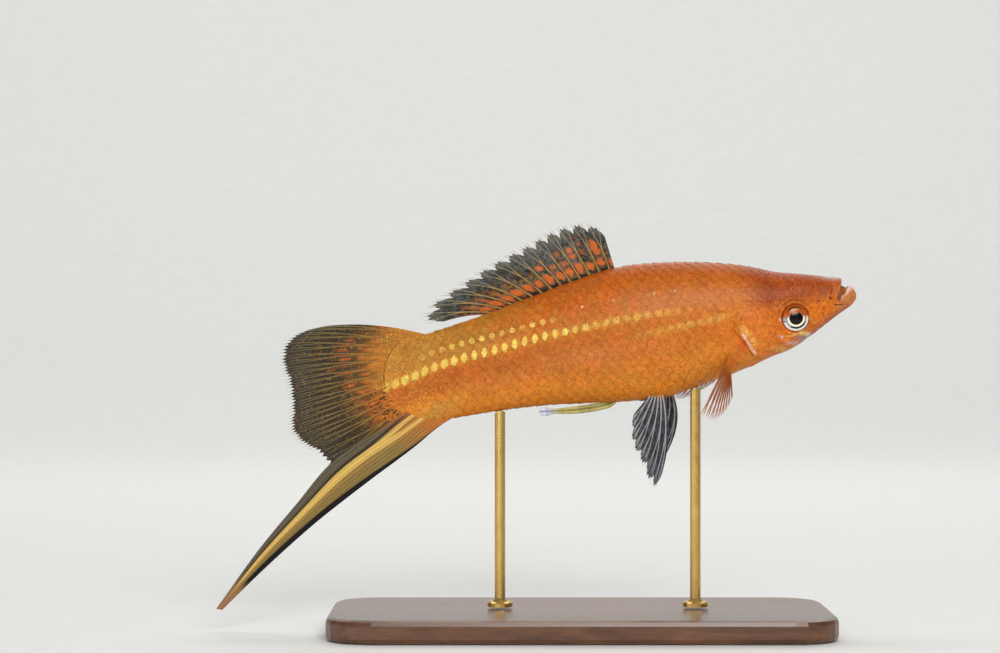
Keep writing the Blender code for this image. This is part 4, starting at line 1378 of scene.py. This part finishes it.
def eye_material():
    """The iris: a gold ring round the black pupil, silver below, a dark crescent, and orange above; painted
    shade of the brow darkens the top of the iris and covers the top of the pupil.
    """
    material, tree, shader = start_material("eye_rings")
    calc, times, step = short_names(tree)
    place = put(tree, "ShaderNodeUVMap", uv_map="eye_map").outputs[0]
    split = put(tree, "ShaderNodeSeparateXYZ", {0: place})
    across = calc("MULTIPLY_ADD", split.outputs[0], EYE_MAP_WIDTH, -EYE_MAP_WIDTH / 2)
    up = calc("MULTIPLY_ADD", split.outputs[1], EYE_MAP_WIDTH, -EYE_MAP_WIDTH / 2)
    fine = noise_node(tree, place, 26.0, 3.0)

    def ring(centre_up, stretch):
        """Gives the distance from a place near the middle of the eye."""
        height = times(calc("SUBTRACT", up, centre_up), stretch)
        return calc("SQRT", calc("ADD", times(across, across), times(height, height)))

    def lay(tone, share, red, green, blue):
        return mix_colours(tree, share, tone, rgba(red, green, blue))

    pupil = ring(-0.04, 1.06)
    edge = calc("MULTIPLY_ADD", fine, 0.16, ring(0.0, 1.0))
    ragged = calc("MULTIPLY_ADD", fine, 0.22, pupil)
    low = calc("MULTIPLY_ADD", across, 0.16, up)
    tilted = calc("MULTIPLY_ADD", across, -0.10, up)

    tone = lay(rgba(70, 70, 76), step(fine, 0.38, 0.62), 196, 198, 204)
    tone = lay(tone, step(ragged, 1.50, 1.36), 250, 238, 200)
    crescent = times(step(edge, 1.40, 1.50), step(edge, 1.76, 1.68), step(low, -0.85, -1.15))
    tone = lay(tone, crescent, 14, 12, 14)
    tone = lay(tone, times(step(edge, 1.66, 1.76), step(low, 0.05, -0.35)), 236, 232, 226)
    tone = lay(tone, step(pupil, 1.09, 1.01), 4, 4, 5)

    brown = lay(rgba(150, 66, 24), step(fine, 0.35, 0.65), 196, 96, 36)
    # painted shade: a dark arc at the top of the iris, under the orbit's rim
    arc = times(step(edge, 1.50, 1.64), step(edge, 1.86, 1.74), step(up, 0.9, 1.4))
    brown = lay(brown, arc, 74, 44, 20)
    gleam = times(step(edge, 1.28, 1.36), step(edge, 1.50, 1.42), step(up, 1.0, 1.3))
    brown = lay(brown, gleam, 196, 140, 60)
    # the upper iris is brown, its own colour; above the pupil's middle it also covers the pupil's top as
    # painted shade of the brow
    upper = step(calc("MULTIPLY_ADD", fine, 0.7, tilted), 0.30, 0.72)
    brow_shade = calc("MAXIMUM", times(upper, step(pupil, 1.02, 1.10)), times(upper, step(up, 0.62, 0.80)))
    tone = mix_colours(tree, brow_shade, tone, brown)
    tone = lay(tone, step(edge, 1.98, 2.06), 150, 70, 30)
    inputs = {
        "Base Color": tone,
        "Roughness": calc("MULTIPLY_ADD", fine, 0.2, 0.12),
        "Coat Weight": 0.30,
        "Coat Roughness": 0.04,
        "Specular IOR Level": 0.12,
    }
    link_shader(tree, shader, inputs)
    return material


# The fins.

DORSAL_RAYS = 13
FAN_RAYS = 13
PECTORAL_RAYS = 9
PELVIC_RAYS = 6
SWORD_RAYS = 11
RAY_SPREAD = 0.92
RAY_SIDES = 6
SWORD_ROWS = 220
GONOPODIUM_RINGS = 90
GONOPODIUM_SIDES = 10
WEB_COLUMNS = 16


class Fin:
    """A fin's middle surface: share runs across its rays from the front, and out runs along them."""

    def __init__(self, root, tip, bow=None):
        self.root = root
        self.tip = tip
        self.bow = bow

    def place(self, share, out):
        share, out = np.broadcast_arrays(np.asarray(share, float), np.asarray(out, float))
        start = self.root(share)
        place = start + (self.tip(share) - start) * out[..., None]
        if self.bow is not None:
            place = place + self.bow(share, out)
        return place


def ray_strands(index, rays, forks):
    """Gives one ray's trunk, branches and tips: start, end, the share at each out, and the thickness."""
    middle = (index + 0.5) / rays
    wide = RAY_SPREAD / rays

    def line(first, second):
        def share(out):
            one = ease((out - forks[0]) / 0.5)
            two = ease((out - forks[1]) / 0.42)
            return middle + wide * (first * one + second * two)

        return share

    strands = [(0.0, forks[0] + 0.02, line(0, 0), 1.0)]
    for first in (-0.25, 0.25):
        strands.append((forks[0], forks[1] + 0.02, line(first, 0), 0.78))
        for second in (-0.125, 0.125):
            strands.append((forks[1], 1.0, line(first, second), 0.6))
    return strands


def add_rays(piece, fin, rays, radius, paint, forks=(0.33, 0.62), joint=0.45):
    """Adds the branching, jointed rays of a fin."""
    for index in range(rays):
        for start, end, line, size in ray_strands(index, rays, forks):
            length = np.linalg.norm(fin.place(line(1.0), 1.0) - fin.place(line(0.0), 0.0))
            count = max(int((end - start) * length / joint * 3), 6)
            out = np.linspace(start, end, count)
            share = line(out)
            ripple = np.cos(2 * math.pi * out * length / joint)
            thick = radius * size * (1 - 0.45 * out) * (1 + 0.10 * ripple)
            if end == 1.0:
                thick = thick * np.sqrt(np.clip((1 - out) / 0.12, 0.03, 1))
            tint = paint(share, out) * (1 - 0.22 * (ripple > 0.6))[:, None]
            maps = {"fin_map": np.stack((share, out), -1)}
            add_tube(piece, fin.place(share, out), thick, RAY_SIDES, maps, {"tint": tint})


def add_membrane(piece, fin, rays, paint, thickness=0.07, rows=44, large=0.04, small=0.03, short=0.02):
    """Adds the thin web of a fin; its edge dips between the rays' tips, and it ends short of them."""
    share = np.linspace(0, 1, rays * WEB_COLUMNS + 1)[:, None]
    out = np.linspace(0, 1, rows + 1)[None, :]
    web = 0.5 + 0.5 * np.cos(2 * math.pi * share * rays)
    fine = 0.5 + 0.5 * np.cos(8 * math.pi * share * rays)
    share, out = np.broadcast_arrays(share, out * (1 - short - large * web**2 - small * fine))
    place = fin.place(share, out)
    tint = paint(share, out, place)
    paints = {"tint": tint[..., :3], "cover": tint[..., 3:], "lie": lie_of(place)}
    add_sheet(piece, place, thickness, {"fin_map": np.stack((share, out), -1)}, paints)


SMOKE = colour(54, 48, 32)
SMOKE_DARK = colour(20, 17, 14)
SMOKE_BLUE = colour(84, 92, 92)
FIN_ORANGE = colour(192, 96, 38)
RAY_TAN = colour(178, 132, 72)
RAY_GREY = colour(142, 132, 108)
FAN_BROWN = colour(112, 74, 34)
FAN_OLIVE = colour(52, 56, 36)
FAN_DARK = colour(27, 33, 24)
NEAR_BLACK = colour(16, 13, 13)
PECTORAL_CLEAR = colour(150, 84, 36)
PECTORAL_RAY = colour(150, 74, 24)
PELVIC_BLUE = colour(74, 74, 80)
PELVIC_DARK = colour(34, 33, 36)


def webs(share, rays, half_wide):
    """Gives 1 in the middle of the web between each two rays, falling to 0 at the rays."""
    phase = share * rays
    return ease(1.5 - np.abs(phase - np.round(phase)) / half_wide)


def dorsal_paint(share, out, place):
    """Smoky webs with a black foot, and rows of orange spots between the rays."""
    fleck = noise(place, 0.22, 21)
    lump = noise(place, 0.7, 22)
    rough = (noise(place, 0.4, 23) - 0.5) * 1.1
    number = np.round(share * DORSAL_RAYS)
    vary = np.sin(number * 2.4) * 0.5 + 0.5
    tone = plain(SMOKE, share)
    tone = blend(tone, SMOKE_DARK, ease((lump - 0.4) / 0.3) * 0.75)
    bluish = ease((fleck - 0.50) / 0.12) * ease((out - 0.12) / 0.2) * ease((0.90 - out) / 0.3)
    tone = blend(tone, SMOKE_BLUE, bluish * 0.75)
    ochre = ease((noise(place, 0.26, 24) - 0.56) / 0.1) * ease((0.7 - out) / 0.3)
    tone = blend(tone, colour(140, 108, 48), ochre * 0.6)
    base = ease((0.12 + 0.04 * vary - out) / 0.04) * webs(share, DORSAL_RAYS, 0.34)
    tone = blend(tone, NEAR_BLACK, base)

    def spots(centre, wide, tall):
        phase = share * DORSAL_RAYS
        reach = np.hypot((phase - number) / wide, (out - centre) / tall)
        return ease(2.1 - 2.0 * reach - rough)

    orange = spots(0.225 + 0.03 * vary, 0.42, 0.085 + 0.03 * vary) * ease((0.97 - share) / 0.05)
    for centre, limit, wide, tall in (
        (0.43, 0.58, 0.34, 0.06),
        (0.60, 0.38, 0.30, 0.06),
        (0.78, 0.24, 0.24, 0.045),
    ):
        row = spots(centre + 0.05 * np.sin(number * 1.7 + centre * 9), wide, tall)
        row = row * ease((limit - share) / 0.12) * ease((share - 0.13) / 0.04)
        orange = np.maximum(orange, row * (0.5 + 0.5 * vary))
    streak = webs(share, DORSAL_RAYS, 0.16) * ease((share - 0.6) / 0.2) * ease((0.62 - out) / 0.2)
    orange = np.maximum(orange, streak * 0.5)
    first = ease(1.9 - 1.7 * np.hypot((share - 0.077) / 0.030, (out - 0.52) / 0.17) - rough)
    orange = np.maximum(orange, first)
    tone = blend(tone, FIN_ORANGE * (0.85 + 0.3 * fleck)[..., None], orange)
    cover = 0.96 - 0.30 * ease((out - 0.55) / 0.40) - 0.12 * ease((fleck - 0.5) / 0.2)
    cover = cover + 0.3 * np.maximum(base, orange)
    return np.concatenate((tone, np.clip(cover, 0.2, 1)[..., None]), -1)


def dorsal_ray_paint(share, out):
    tone = plain(RAY_TAN, share)
    tone = blend(tone, colour(146, 96, 40), ease((out - 0.05) / 0.2) * ease((0.5 - out) / 0.3) * 0.5)
    return blend(tone, RAY_GREY, ease((out - 0.40) / 0.4))


def fan_paint(share, out, place):
    """The body's colour at the root, then olive and dark webs with orange streaks and black specks."""
    fleck = noise(place, 0.24, 31)
    lump = noise(place * np.array((0.35, 1, 1)), 0.45, 32)
    body = paint_body(place)
    tone = plain(FAN_BROWN, share)
    tone = blend(tone, FAN_OLIVE, ease((out - 0.24 - 0.16 * lump) / 0.24))
    tone = blend(tone, FAN_DARK, ease((out - 0.40) / 0.35) * 0.85)
    limit = 0.70 - 0.40 * np.abs(share - 0.38)
    forked = webs(share + 0.5 / FAN_RAYS, FAN_RAYS, 0.10) * ease((out - 0.30) / 0.05)
    streak = np.clip(webs(share, FAN_RAYS, 0.15) + 0.8 * forked, 0, 1)
    streak = streak * ease((limit - out) / 0.16) * ease((lump - 0.40) / 0.14)
    tone = blend(tone, colour(186, 88, 34), streak * 0.75)
    tone = blend(tone, body, ease((0.33 + 0.16 * lump - out) / 0.24) * 0.95)
    net = ease((0.5 - np.abs(fleck - 0.5) * 8) / 0.5) * ease((0.36 - out) / 0.15) * ease((out - 0.04) / 0.05)
    tone = blend(tone, colour(100, 58, 26), net * 0.5)
    specks = ease((fleck - 0.54) / 0.08) * ease((share - 0.48) / 0.25) * ease((0.50 - out) / 0.2)
    tone = blend(tone, NEAR_BLACK, specks * 0.9)
    cover = 1.0 - 0.16 * ease((out - 0.45) / 0.45) + 0.4 * ease((0.45 - out) / 0.15)
    return np.concatenate((tone, cover[..., None]), -1)


def fan_ray_paint(share, out):
    tone = plain(colour(194, 122, 46), share)
    tone = blend(tone, colour(160, 112, 52), ease((out - 0.14) / 0.25))
    tone = blend(tone, colour(128, 112, 66), ease((out - 0.34) / 0.3))
    return blend(tone, colour(112, 112, 84), ease((out - 0.70) / 0.25))


def pectoral_paint(share, out, place):
    tone = plain(PECTORAL_CLEAR, share)
    tone = tone * (0.8 + 0.4 * noise(place, 0.3, 41))[..., None]
    tone = blend(tone, paint_body(place), ease((0.34 - out) / 0.22))
    cover = 0.50 + 0.46 * ease((0.40 - out) / 0.35) + 0.12 * noise(place, 0.5, 42)
    return np.concatenate((tone, cover[..., None]), -1)


def pectoral_ray_paint(share, out):
    tone = plain(PECTORAL_RAY, share)
    tone = blend(tone, colour(200, 106, 34), ease((0.34 - out) / 0.24))
    return blend(tone, colour(172, 98, 42), ease((out - 0.6) / 0.4))


def pelvic_paint(share, out, place):
    fleck = noise(place, 0.24, 51)
    tone = plain(PELVIC_DARK, share)
    tone = blend(tone, PELVIC_BLUE, ease((fleck - 0.42) / 0.2) * 0.8)
    tone = blend(tone, FIN_ORANGE, ease((0.10 - out) / 0.08) * ease((0.4 - share) / 0.2) * 0.7)
    cover = 0.90 - 0.18 * ease((out - 0.7) / 0.3)
    return np.concatenate((tone, cover[..., None]), -1)


def pelvic_ray_paint(share, out):
    tone = plain(colour(158, 158, 164), share)
    tone = blend(tone, colour(206, 206, 204), ease((share - 0.25) / 0.3) * ease((out - 0.72) / 0.2))
    return blend(tone, colour(196, 150, 110), ease((0.16 - out) / 0.12) * 0.7)


def membrane_material(name, roughness, marked=False):
    """A thin web of skin that lets some light through; a marked one carries on the flank's marks."""
    material, tree, shader = start_material(name)
    tint = painted(tree, "tint")
    if marked:
        tint = flank_colour(tree, tint)[0]
    grain = use_grain(tree, tint, 2200.0, 0.5, roughness, 0.2)
    fine = math_node(tree, "MULTIPLY_ADD", grain.outputs["Height"], 0.30, -0.22)
    alpha = math_node(tree, "ADD", painted(tree, "cover", "Fac"), fine)
    alpha.node.use_clamp = True
    link_grained(tree, shader, grain, 0.4, 0.00004, {"Alpha": alpha, "Specular IOR Level": 0.15})
    return material


def ray_material(name, roughness):
    material, tree, shader = start_material(name)
    grain = use_grain(tree, painted(tree, "tint"), 3000.0, 0.4, roughness, 0.2)
    link_grained(tree, shader, grain, 0.3, 0.00003, {"Specular IOR Level": 0.2})
    return material


def dorsal_fin():
    root = line_through((0, 35.0, 0, 9.4), (0.5, 44.6, 0, 8.05), (1, 54.2, 0, 6.25))
    tip = line_through(
        (0, 35.9, 0, 16.4),
        (0.08, 38.6, 0.2, 17.8),
        (0.22, 42.8, 0.4, 17.7),
        (0.42, 48.1, 0.1, 15.9),
        (0.60, 53.6, -0.4, 14.0),
        (0.76, 58.8, -0.5, 11.7),
        (0.90, 63.8, -0.1, 9.3),
        (0.96, 64.8, 0.1, 7.6),
        (1, 63.9, 0.2, 6.3),
    )

    def bow(share, out):
        belly = out * (1 - out)
        return np.stack((-1.6 * share * belly, 0.5 * np.sin(7 * share) * out * out, 2.4 * share * belly), -1)

    return Fin(root, tip, bow)


def tail_fan():
    def root(share):
        height = 5.1 - 9.3 * share
        return np.stack((tail_arc(height) - 0.8, 0 * height, height), -1)

    tip = line_through(
        (0, 80.0, 0.3, 9.1),
        (0.08, 83.6, 0.4, 8.8),
        (0.17, 86.2, 0.5, 7.4),
        (0.28, 87.1, 0.5, 4.8),
        (0.42, 86.6, 0.3, 1.6),
        (0.58, 86.8, 0.0, -2.2),
        (0.72, 87.4, -0.3, -5.4),
        (0.84, 86.0, -0.4, -7.8),
        (0.92, 84.2, -0.3, -9.2),
        (1, 82.4, 0.0, -11.9),
    )

    def bow(share, out):
        belly = out * (1 - out)
        side = 0.6 * np.sin(3 + 4 * share) * out * out
        return np.stack((0 * belly, side, 3.4 * (1 - 1.6 * share) * belly), -1)

    return Fin(root, tip, bow)


SWORD_TOP = line_through(
    (0, 66.3, 0, -4.0),
    (0.2, 74.4, 0, -7.7),
    (0.4, 81.9, 0, -11.2),
    (0.6, 88.3, 0, -16.5),
    (0.8, 95.2, 0.3, -22.4),
    (1, 102.9, 0.8, -29.9),
)
SWORD_LOW = line_through(
    (0, 61.6, 0, -7.3),
    (0.08, 65.2, 0, -8.75),
    (0.2, 69.5, 0, -11.2),
    (0.4, 77.6, 0, -15.3),
    (0.6, 86.0, 0, -19.8),
    (0.8, 94.2, 0.3, -24.9),
    (1, 102.0, 0.8, -30.2),
)


def sword_place(share, out):
    """Gives places on the sword's blade, from its upper edge to its lower one."""
    share, out = np.broadcast_arrays(np.asarray(share, float), np.asarray(out, float))
    top = SWORD_TOP(out)
    return top + (SWORD_LOW(out) - top) * share[..., None]


def sword_paint(share, out):
    """Two gold stripes that join, a thin dark line above, olive below and a black lower edge."""
    lines = 0.5 + 0.5 * np.cos(2 * math.pi * share * 20 + 3 * out)
    tone = plain(colour(52, 46, 34), share)
    tone = blend(tone, colour(150, 138, 106), lines**2 * 0.8)
    tone = blend(tone, colour(150, 116, 58), ease((share - 0.30) / 0.08))
    tone = blend(tone, colour(112, 98, 50), ease((share - 0.56) / 0.1) * 0.7)
    tone = blend(tone, colour(176, 146, 84), lines * ease((share - 0.4) / 0.1) * 0.45)
    root = ease((0.26 - out) / 0.24) * (0.75 + 0.2 * ease((share - 0.45) / 0.3))
    tone = blend(tone, colour(196, 112, 40), root)
    middle = 0.36 + 0.04 * np.sin(math.pi * out)
    split = ease((0.34 - out) / 0.25) * 0.12
    for offset, wide in ((-1, 0.06), (1, 0.07)):
        near = np.abs(share - middle - offset * split) / (wide + 0.04 * (1 - split / 0.12))
        tone = blend(tone, colour(222, 184, 96), ease(1.6 - 1.3 * near) * 0.9)
    dark = ease(1.5 - 1.3 * np.abs(share - middle + split + 0.13) / 0.05) * ease((out - 0.05) / 0.1)
    tone = blend(tone, colour(40, 32, 26), dark * 0.85)
    black = np.interp(out, (0.0, 0.15, 0.4, 0.75, 1.0), (0.99, 0.93, 0.84, 0.72, 0.60))
    edge = ease((share - black) / 0.05) * ease((0.93 - out) / 0.06) * ease((out - 0.03) / 0.05)
    tone = blend(tone, NEAR_BLACK, edge)
    return blend(tone, colour(164, 120, 88), ease((out - 0.86) / 0.1) * (1 - edge) * 0.85)


def pectoral_fins():
    """Gives the two fins behind the gill covers, of which the left one spreads wider."""
    tips = {
        "right": (
            (0, 26.9, 8.6, -13.3),
            (0.25, 25.6, 8.9, -14.3),
            (0.5, 24.3, 8.8, -14.3),
            (0.75, 22.9, 8.3, -13.4),
            (1, 21.4, 7.2, -11.6),
        ),
        "left": (
            (0, 29.6, 8.6, -10.4),
            (0.25, 28.9, 8.7, -11.2),
            (0.5, 27.4, 8.5, -11.2),
            (0.75, 25.3, 7.9, -10.6),
            (1, 22.9, 6.8, -9.6),
        ),
    }
    fins = []
    for side, name in ((-1, "right"), (1, "left")):
        def root(share, side=side):
            along = 19.9 + 0.9 * share
            height = -4.7 - 3.0 * share
            return np.stack((along, side * (body_side(along, height) - 0.5), height), -1)

        rows = [(share, along, side * out, height) for share, along, out, height in tips[name]]
        fins.append((name, Fin(root, line_through(*rows))))
    return fins


def pelvic_fins():
    """Gives the two fins under the belly, of which the left one leans out and forward."""
    fins = []
    for side, name in ((-1, "right"), (1, "left")):
        lean = 0.0 if side < 0 else 1.4

        def root(share, side=side, lean=lean):
            along = 31.3 - lean + 1.7 * share
            return np.stack((along, side * 1.6 + 0 * along, body_underside(along, 1.6) + 0.7), -1)

        tip = line_through(
            (0, 34.6 - lean, side * (2.6 + lean), -23.2 + 2.2 * lean),
            (0.15, 35.6 - lean, side * (2.8 + lean), -23.0 + 2.2 * lean),
            (0.4, 36.4 - lean, side * (2.9 + lean), -19.4 + 1.6 * lean),
            (0.7, 37.2 - lean, side * (2.7 + lean), -16.0 + lean),
            (1, 36.5 - lean, side * 2.2, -12.2),
        )

        def bow(share, out, lean=lean):
            back = -(3.4 + lean) * (1 - share) * out * (1 - out) * 1.5
            return np.stack((back, 0 * back, 0 * back), -1)

        fins.append((name, Fin(root, tip, bow)))
    return fins


def build_fins():
    web = membrane_material("fin_web", 0.38)
    marked_web = membrane_material("marked_fin_web", 0.40, True)
    bone = ray_material("fin_rays", 0.36)

    fin = dorsal_fin()
    piece = Piece()
    add_membrane(piece, fin, DORSAL_RAYS, dorsal_paint, large=0.10, small=0.045, short=0.05)
    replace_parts(piece.finish("dorsal_web", [web], 40), "dorsal_fin")
    piece = Piece()
    add_rays(piece, fin, DORSAL_RAYS, 0.15, dorsal_ray_paint, forks=(0.42, 0.68))
    piece.finish("dorsal_rays", [bone])

    fin = tail_fan()
    piece = Piece()
    add_membrane(piece, fin, FAN_RAYS, fan_paint, rows=64, large=0.008, small=0.030, short=0.022)
    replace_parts(piece.finish("tail_web", [marked_web], 40), "tail_fin")
    piece = Piece()
    add_rays(piece, fin, FAN_RAYS, 0.165, fan_ray_paint, forks=(0.24, 0.52), joint=0.5)
    piece.finish("tail_rays", [bone])

    build_sword(bone)

    for name, fin in pectoral_fins():
        piece = Piece()
        sizes = {"thickness": 0.05, "rows": 32, "large": 0.34, "small": 0.08, "short": 0.06}
        add_membrane(piece, fin, PECTORAL_RAYS, pectoral_paint, **sizes)
        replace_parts(piece.finish("pectoral_web_" + name, [web], 40), "pectoral_fin_" + name)
        piece = Piece()
        add_rays(piece, fin, PECTORAL_RAYS, 0.125, pectoral_ray_paint, forks=(0.5, 0.74))
        piece.finish("pectoral_rays_" + name, [bone])
    for name, fin in pelvic_fins():
        piece = Piece()
        add_membrane(piece, fin, PELVIC_RAYS, pelvic_paint, rows=32, large=0.06)
        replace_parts(piece.finish("pelvic_web_" + name, [web], 40), "pelvic_fin_" + name)
        piece = Piece()
        add_rays(piece, fin, PELVIC_RAYS, 0.15, pelvic_ray_paint)
        piece.finish("pelvic_rays_" + name, [bone])
    build_gonopodium(bone)


def build_sword(material):
    """The long lower rays of the tail, as one ribbed and jointed blade."""
    share = np.linspace(0, 1, SWORD_RAYS * 6 + 1)[:, None]
    share, out = np.broadcast_arrays(share, np.linspace(0, 1, SWORD_ROWS)[None, :])
    ridge = np.abs(np.sin(math.pi * share * SWORD_RAYS))
    joints = 0.5 + 0.5 * np.cos(2 * math.pi * (out * 46 / 0.55 + 2.5 * share))
    bulge = np.sqrt(np.clip(4 * share * (1 - share), 0.02, 1))
    thick = (0.30 + 0.36 * bulge + 0.13 * ridge + 0.035 * joints * ridge) * (1 - 0.5 * out)
    tint = sword_paint(share, out) * ((0.72 + 0.34 * ridge) * (0.90 + 0.14 * joints))[..., None]
    piece = Piece()
    maps = {"fin_map": np.stack((share, out), -1)}
    add_sheet(piece, sword_place(share, out), thick, maps, {"tint": tint})
    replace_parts(piece.finish("sword_blade", [material], 50), "sword")


def build_gonopodium(material):
    """The anal fin of the male: a rod of joined rays, whose middle ray is painted darker as the shade of a
    groove between the outer ones.
    """
    line = line_through(
        (0, 37.6, 0, -9.1),
        (0.12, 39.4, 0, -9.80),
        (0.5, 44.0, 0, -9.85),
        (0.85, 48.2, 0, -9.40),
        (1, 50.0, 0, -9.15),
    )
    piece = Piece()
    out = np.linspace(0, 1, GONOPODIUM_RINGS)
    fleck = noise(line(out), 0.4, 61)[:, None]
    silver = blend(colour(176, 164, 96), colour(196, 204, 220), ease((out - 0.72) / 0.2))
    silver = silver * (0.75 + 0.5 * fleck)
    joints = 1 + 0.10 * np.cos(2 * math.pi * out * 12 / 0.45)
    taper = np.sqrt(np.clip(out / 0.14, 0.15, 1)) * np.sqrt(np.clip((1 - out) / 0.05, 0.05, 1))
    taper = taper * (1 - 0.30 * ease((out - 0.5) / 0.3) + 0.35 * ease((out - 0.84) / 0.06))
    # the middle ray is painted at half brightness: painted shade of the groove between the outer rays
    for drop, size, shade in ((0.30, 0.27, 1.0), (0.0, 0.29, 0.5), (-0.30, 0.31, 1.0)):
        path = line(out) + np.array((0, 0, 1.0)) * (drop * taper)[:, None]
        maps = {"fin_map": np.stack((out, out), -1)}
        add_tube(piece, path, size * joints * taper, GONOPODIUM_SIDES, maps, {"tint": silver * shade})
    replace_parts(piece.finish("gonopodium_rays", [material]), "gonopodium")


# The stand.


def wood_material():
    material, tree, shader = start_material("walnut")
    inputs = {"Vector": own_place(tree), "Scale": (0.16, 1.0, 1.0)}
    stretched = put(tree, "ShaderNodeMapping", inputs).outputs[0]
    broad = noise_node(tree, stretched, 260.0, 4.0, Distortion=1.2)
    fine = noise_node(tree, stretched, 2400.0, 3.0)
    grain = math_node(tree, "MULTIPLY_ADD", fine, 0.45, broad)
    ramp = put(tree, "ShaderNodeValToRGB", {"Fac": math_node(tree, "MULTIPLY_ADD", grain, 1.6, -0.65)})
    ramp.color_ramp.elements[0].color = rgba(50, 27, 16)
    ramp.color_ramp.elements[1].color = rgba(124, 78, 46)
    inputs = {
        "Base Color": ramp.outputs[0],
        "Roughness": math_node(tree, "MULTIPLY_ADD", grain, 0.25, 0.18),
        "Normal": bump_node(tree, grain, 0.25, 0.0001),
        "Coat Weight": 0.3,
        "Coat Roughness": 0.2,
    }
    link_shader(tree, shader, inputs)
    return material


def brass_material():
    material, tree, shader = start_material("brushed_brass")
    own = own_place(tree)
    turned = put(tree, "ShaderNodeMapping", {"Vector": own, "Scale": (1.0, 1.0, 14.0)}).outputs[0]
    stains = noise_node(tree, own, 500.0, 3.0)
    inputs = {
        "Base Color": mix_colours(tree, stains, rgba(196, 156, 84), rgba(226, 192, 118)),
        "Metallic": 1.0,
        "Roughness": math_node(tree, "MULTIPLY_ADD", stains, 0.25, 0.16),
        "Normal": bump_node(tree, noise_node(tree, turned, 900.0, 2.0), 0.2, 0.00003),
    }
    link_shader(tree, shader, inputs)
    return material


def build_stand():
    """Gives the solids of the stand their wood and brass."""
    wood = wood_material()
    brass = brass_material()
    for name, material in (("stand_base", wood), ("stand_rod_front", brass), ("stand_rod_rear", brass)):
        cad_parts[name].data.materials.clear()
        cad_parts[name].data.materials.append(material)


# The stage, the lights and the camera.

PIXEL = 0.15
LENS = 100.0
SENSOR = 36.0
CAMERA_DISTANCE = LENS / SENSOR * 1000 * PIXEL
AIM_X = -12.0
AIM_HEIGHT = 45.8


def build_stage():
    """A pale floor that curves up into a backdrop behind the fish."""
    half = 2200.0
    depth = 1100.0
    bend = 500.0
    profile = [(-1500.0, 0.0)]
    for turn in np.linspace(0, math.pi / 2, 13):
        profile.append((depth - bend + bend * math.sin(turn), bend - bend * math.cos(turn)))
    profile.append((depth, 1800.0))
    points = np.array([(x, y, z) for x in (-half, half) for y, z in profile])
    material, tree, shader = start_material("pale_paper")
    fibres = noise_node(tree, own_place(tree), 160.0, 4.0)
    tone = mix_colours(tree, fibres, rgba(214, 214, 210), rgba(222, 222, 219))
    roughness = math_node(tree, "MULTIPLY_ADD", fibres, 0.2, 0.6)
    link_shader(tree, shader, {"Base Color": tone, "Roughness": roughness})
    mesh = bpy.data.meshes.new("backdrop")
    mesh.from_pydata(points * MM, [], grid_faces(2, len(profile)))
    mesh.shade_smooth()
    mesh.materials.append(material)
    backdrop = bpy.data.objects.new("backdrop", mesh)
    bpy.context.scene.collection.objects.link(backdrop)


def add_light(name, place, target, size, power, tone=(1, 1, 1)):
    light = bpy.data.lights.new(name, "AREA")
    light.shape = "RECTANGLE"
    light.size, light.size_y = size
    light.energy = power
    light.color = tone
    lamp = bpy.data.objects.new(name, light)
    bpy.context.scene.collection.objects.link(lamp)
    lamp.visible_camera = False
    lamp.location = Vector(place)
    lamp.rotation_euler = (Vector(target) - Vector(place)).to_track_quat("-Z", "Y").to_euler()


def build_lights():
    middle = (-0.005, 0.0, 0.040)
    add_light("key", (0.12, -0.54, 0.33), middle, (0.30, 0.24), 2.5, (1.0, 0.98, 0.95))
    add_light("fill", (-0.42, -0.46, 0.10), middle, (0.5, 0.3), 1.0, (0.97, 0.98, 1.0))
    add_light("rim", (0.05, 0.42, 0.40), middle, (0.5, 0.25), 0.6)
    add_light("backdrop_wash", (0.0, 0.45, 1.3), (0.0, 1.1, 0.35), (1.8, 0.5), 14.0)
    world = bpy.data.worlds.new("soft_room")
    bpy.context.scene.world = world
    world.use_nodes = True
    background = world.node_tree.nodes["Background"]
    background.inputs["Color"].default_value = (0.92, 0.95, 1.0, 1)
    background.inputs["Strength"].default_value = 0.24


def build_camera():
    data = bpy.data.cameras.new("camera")
    data.lens = LENS
    data.sensor_width = SENSOR
    data.clip_start = 0.01
    data.clip_end = 10.0
    camera = bpy.data.objects.new("camera", data)
    bpy.context.scene.collection.objects.link(camera)
    camera.location = (AIM_X * MM, -CAMERA_DISTANCE * MM, AIM_HEIGHT * MM)
    camera.rotation_euler = (math.radians(90), 0, 0)
    bpy.context.scene.camera = camera


bpy.ops.object.select_all(action="DESELECT")
bpy.context.scene.view_settings.view_transform = "Standard"
skin_piece(skin_material())
scales_pieces(scale_material())
eyes = eye_material()
eye_piece(-1, "eye_right_ball", "eye_right", eyes)
eye_piece(1, "eye_left_ball", "eye_left", eyes)
build_fins()
build_stand()
build_stage()
build_lights()
build_camera()
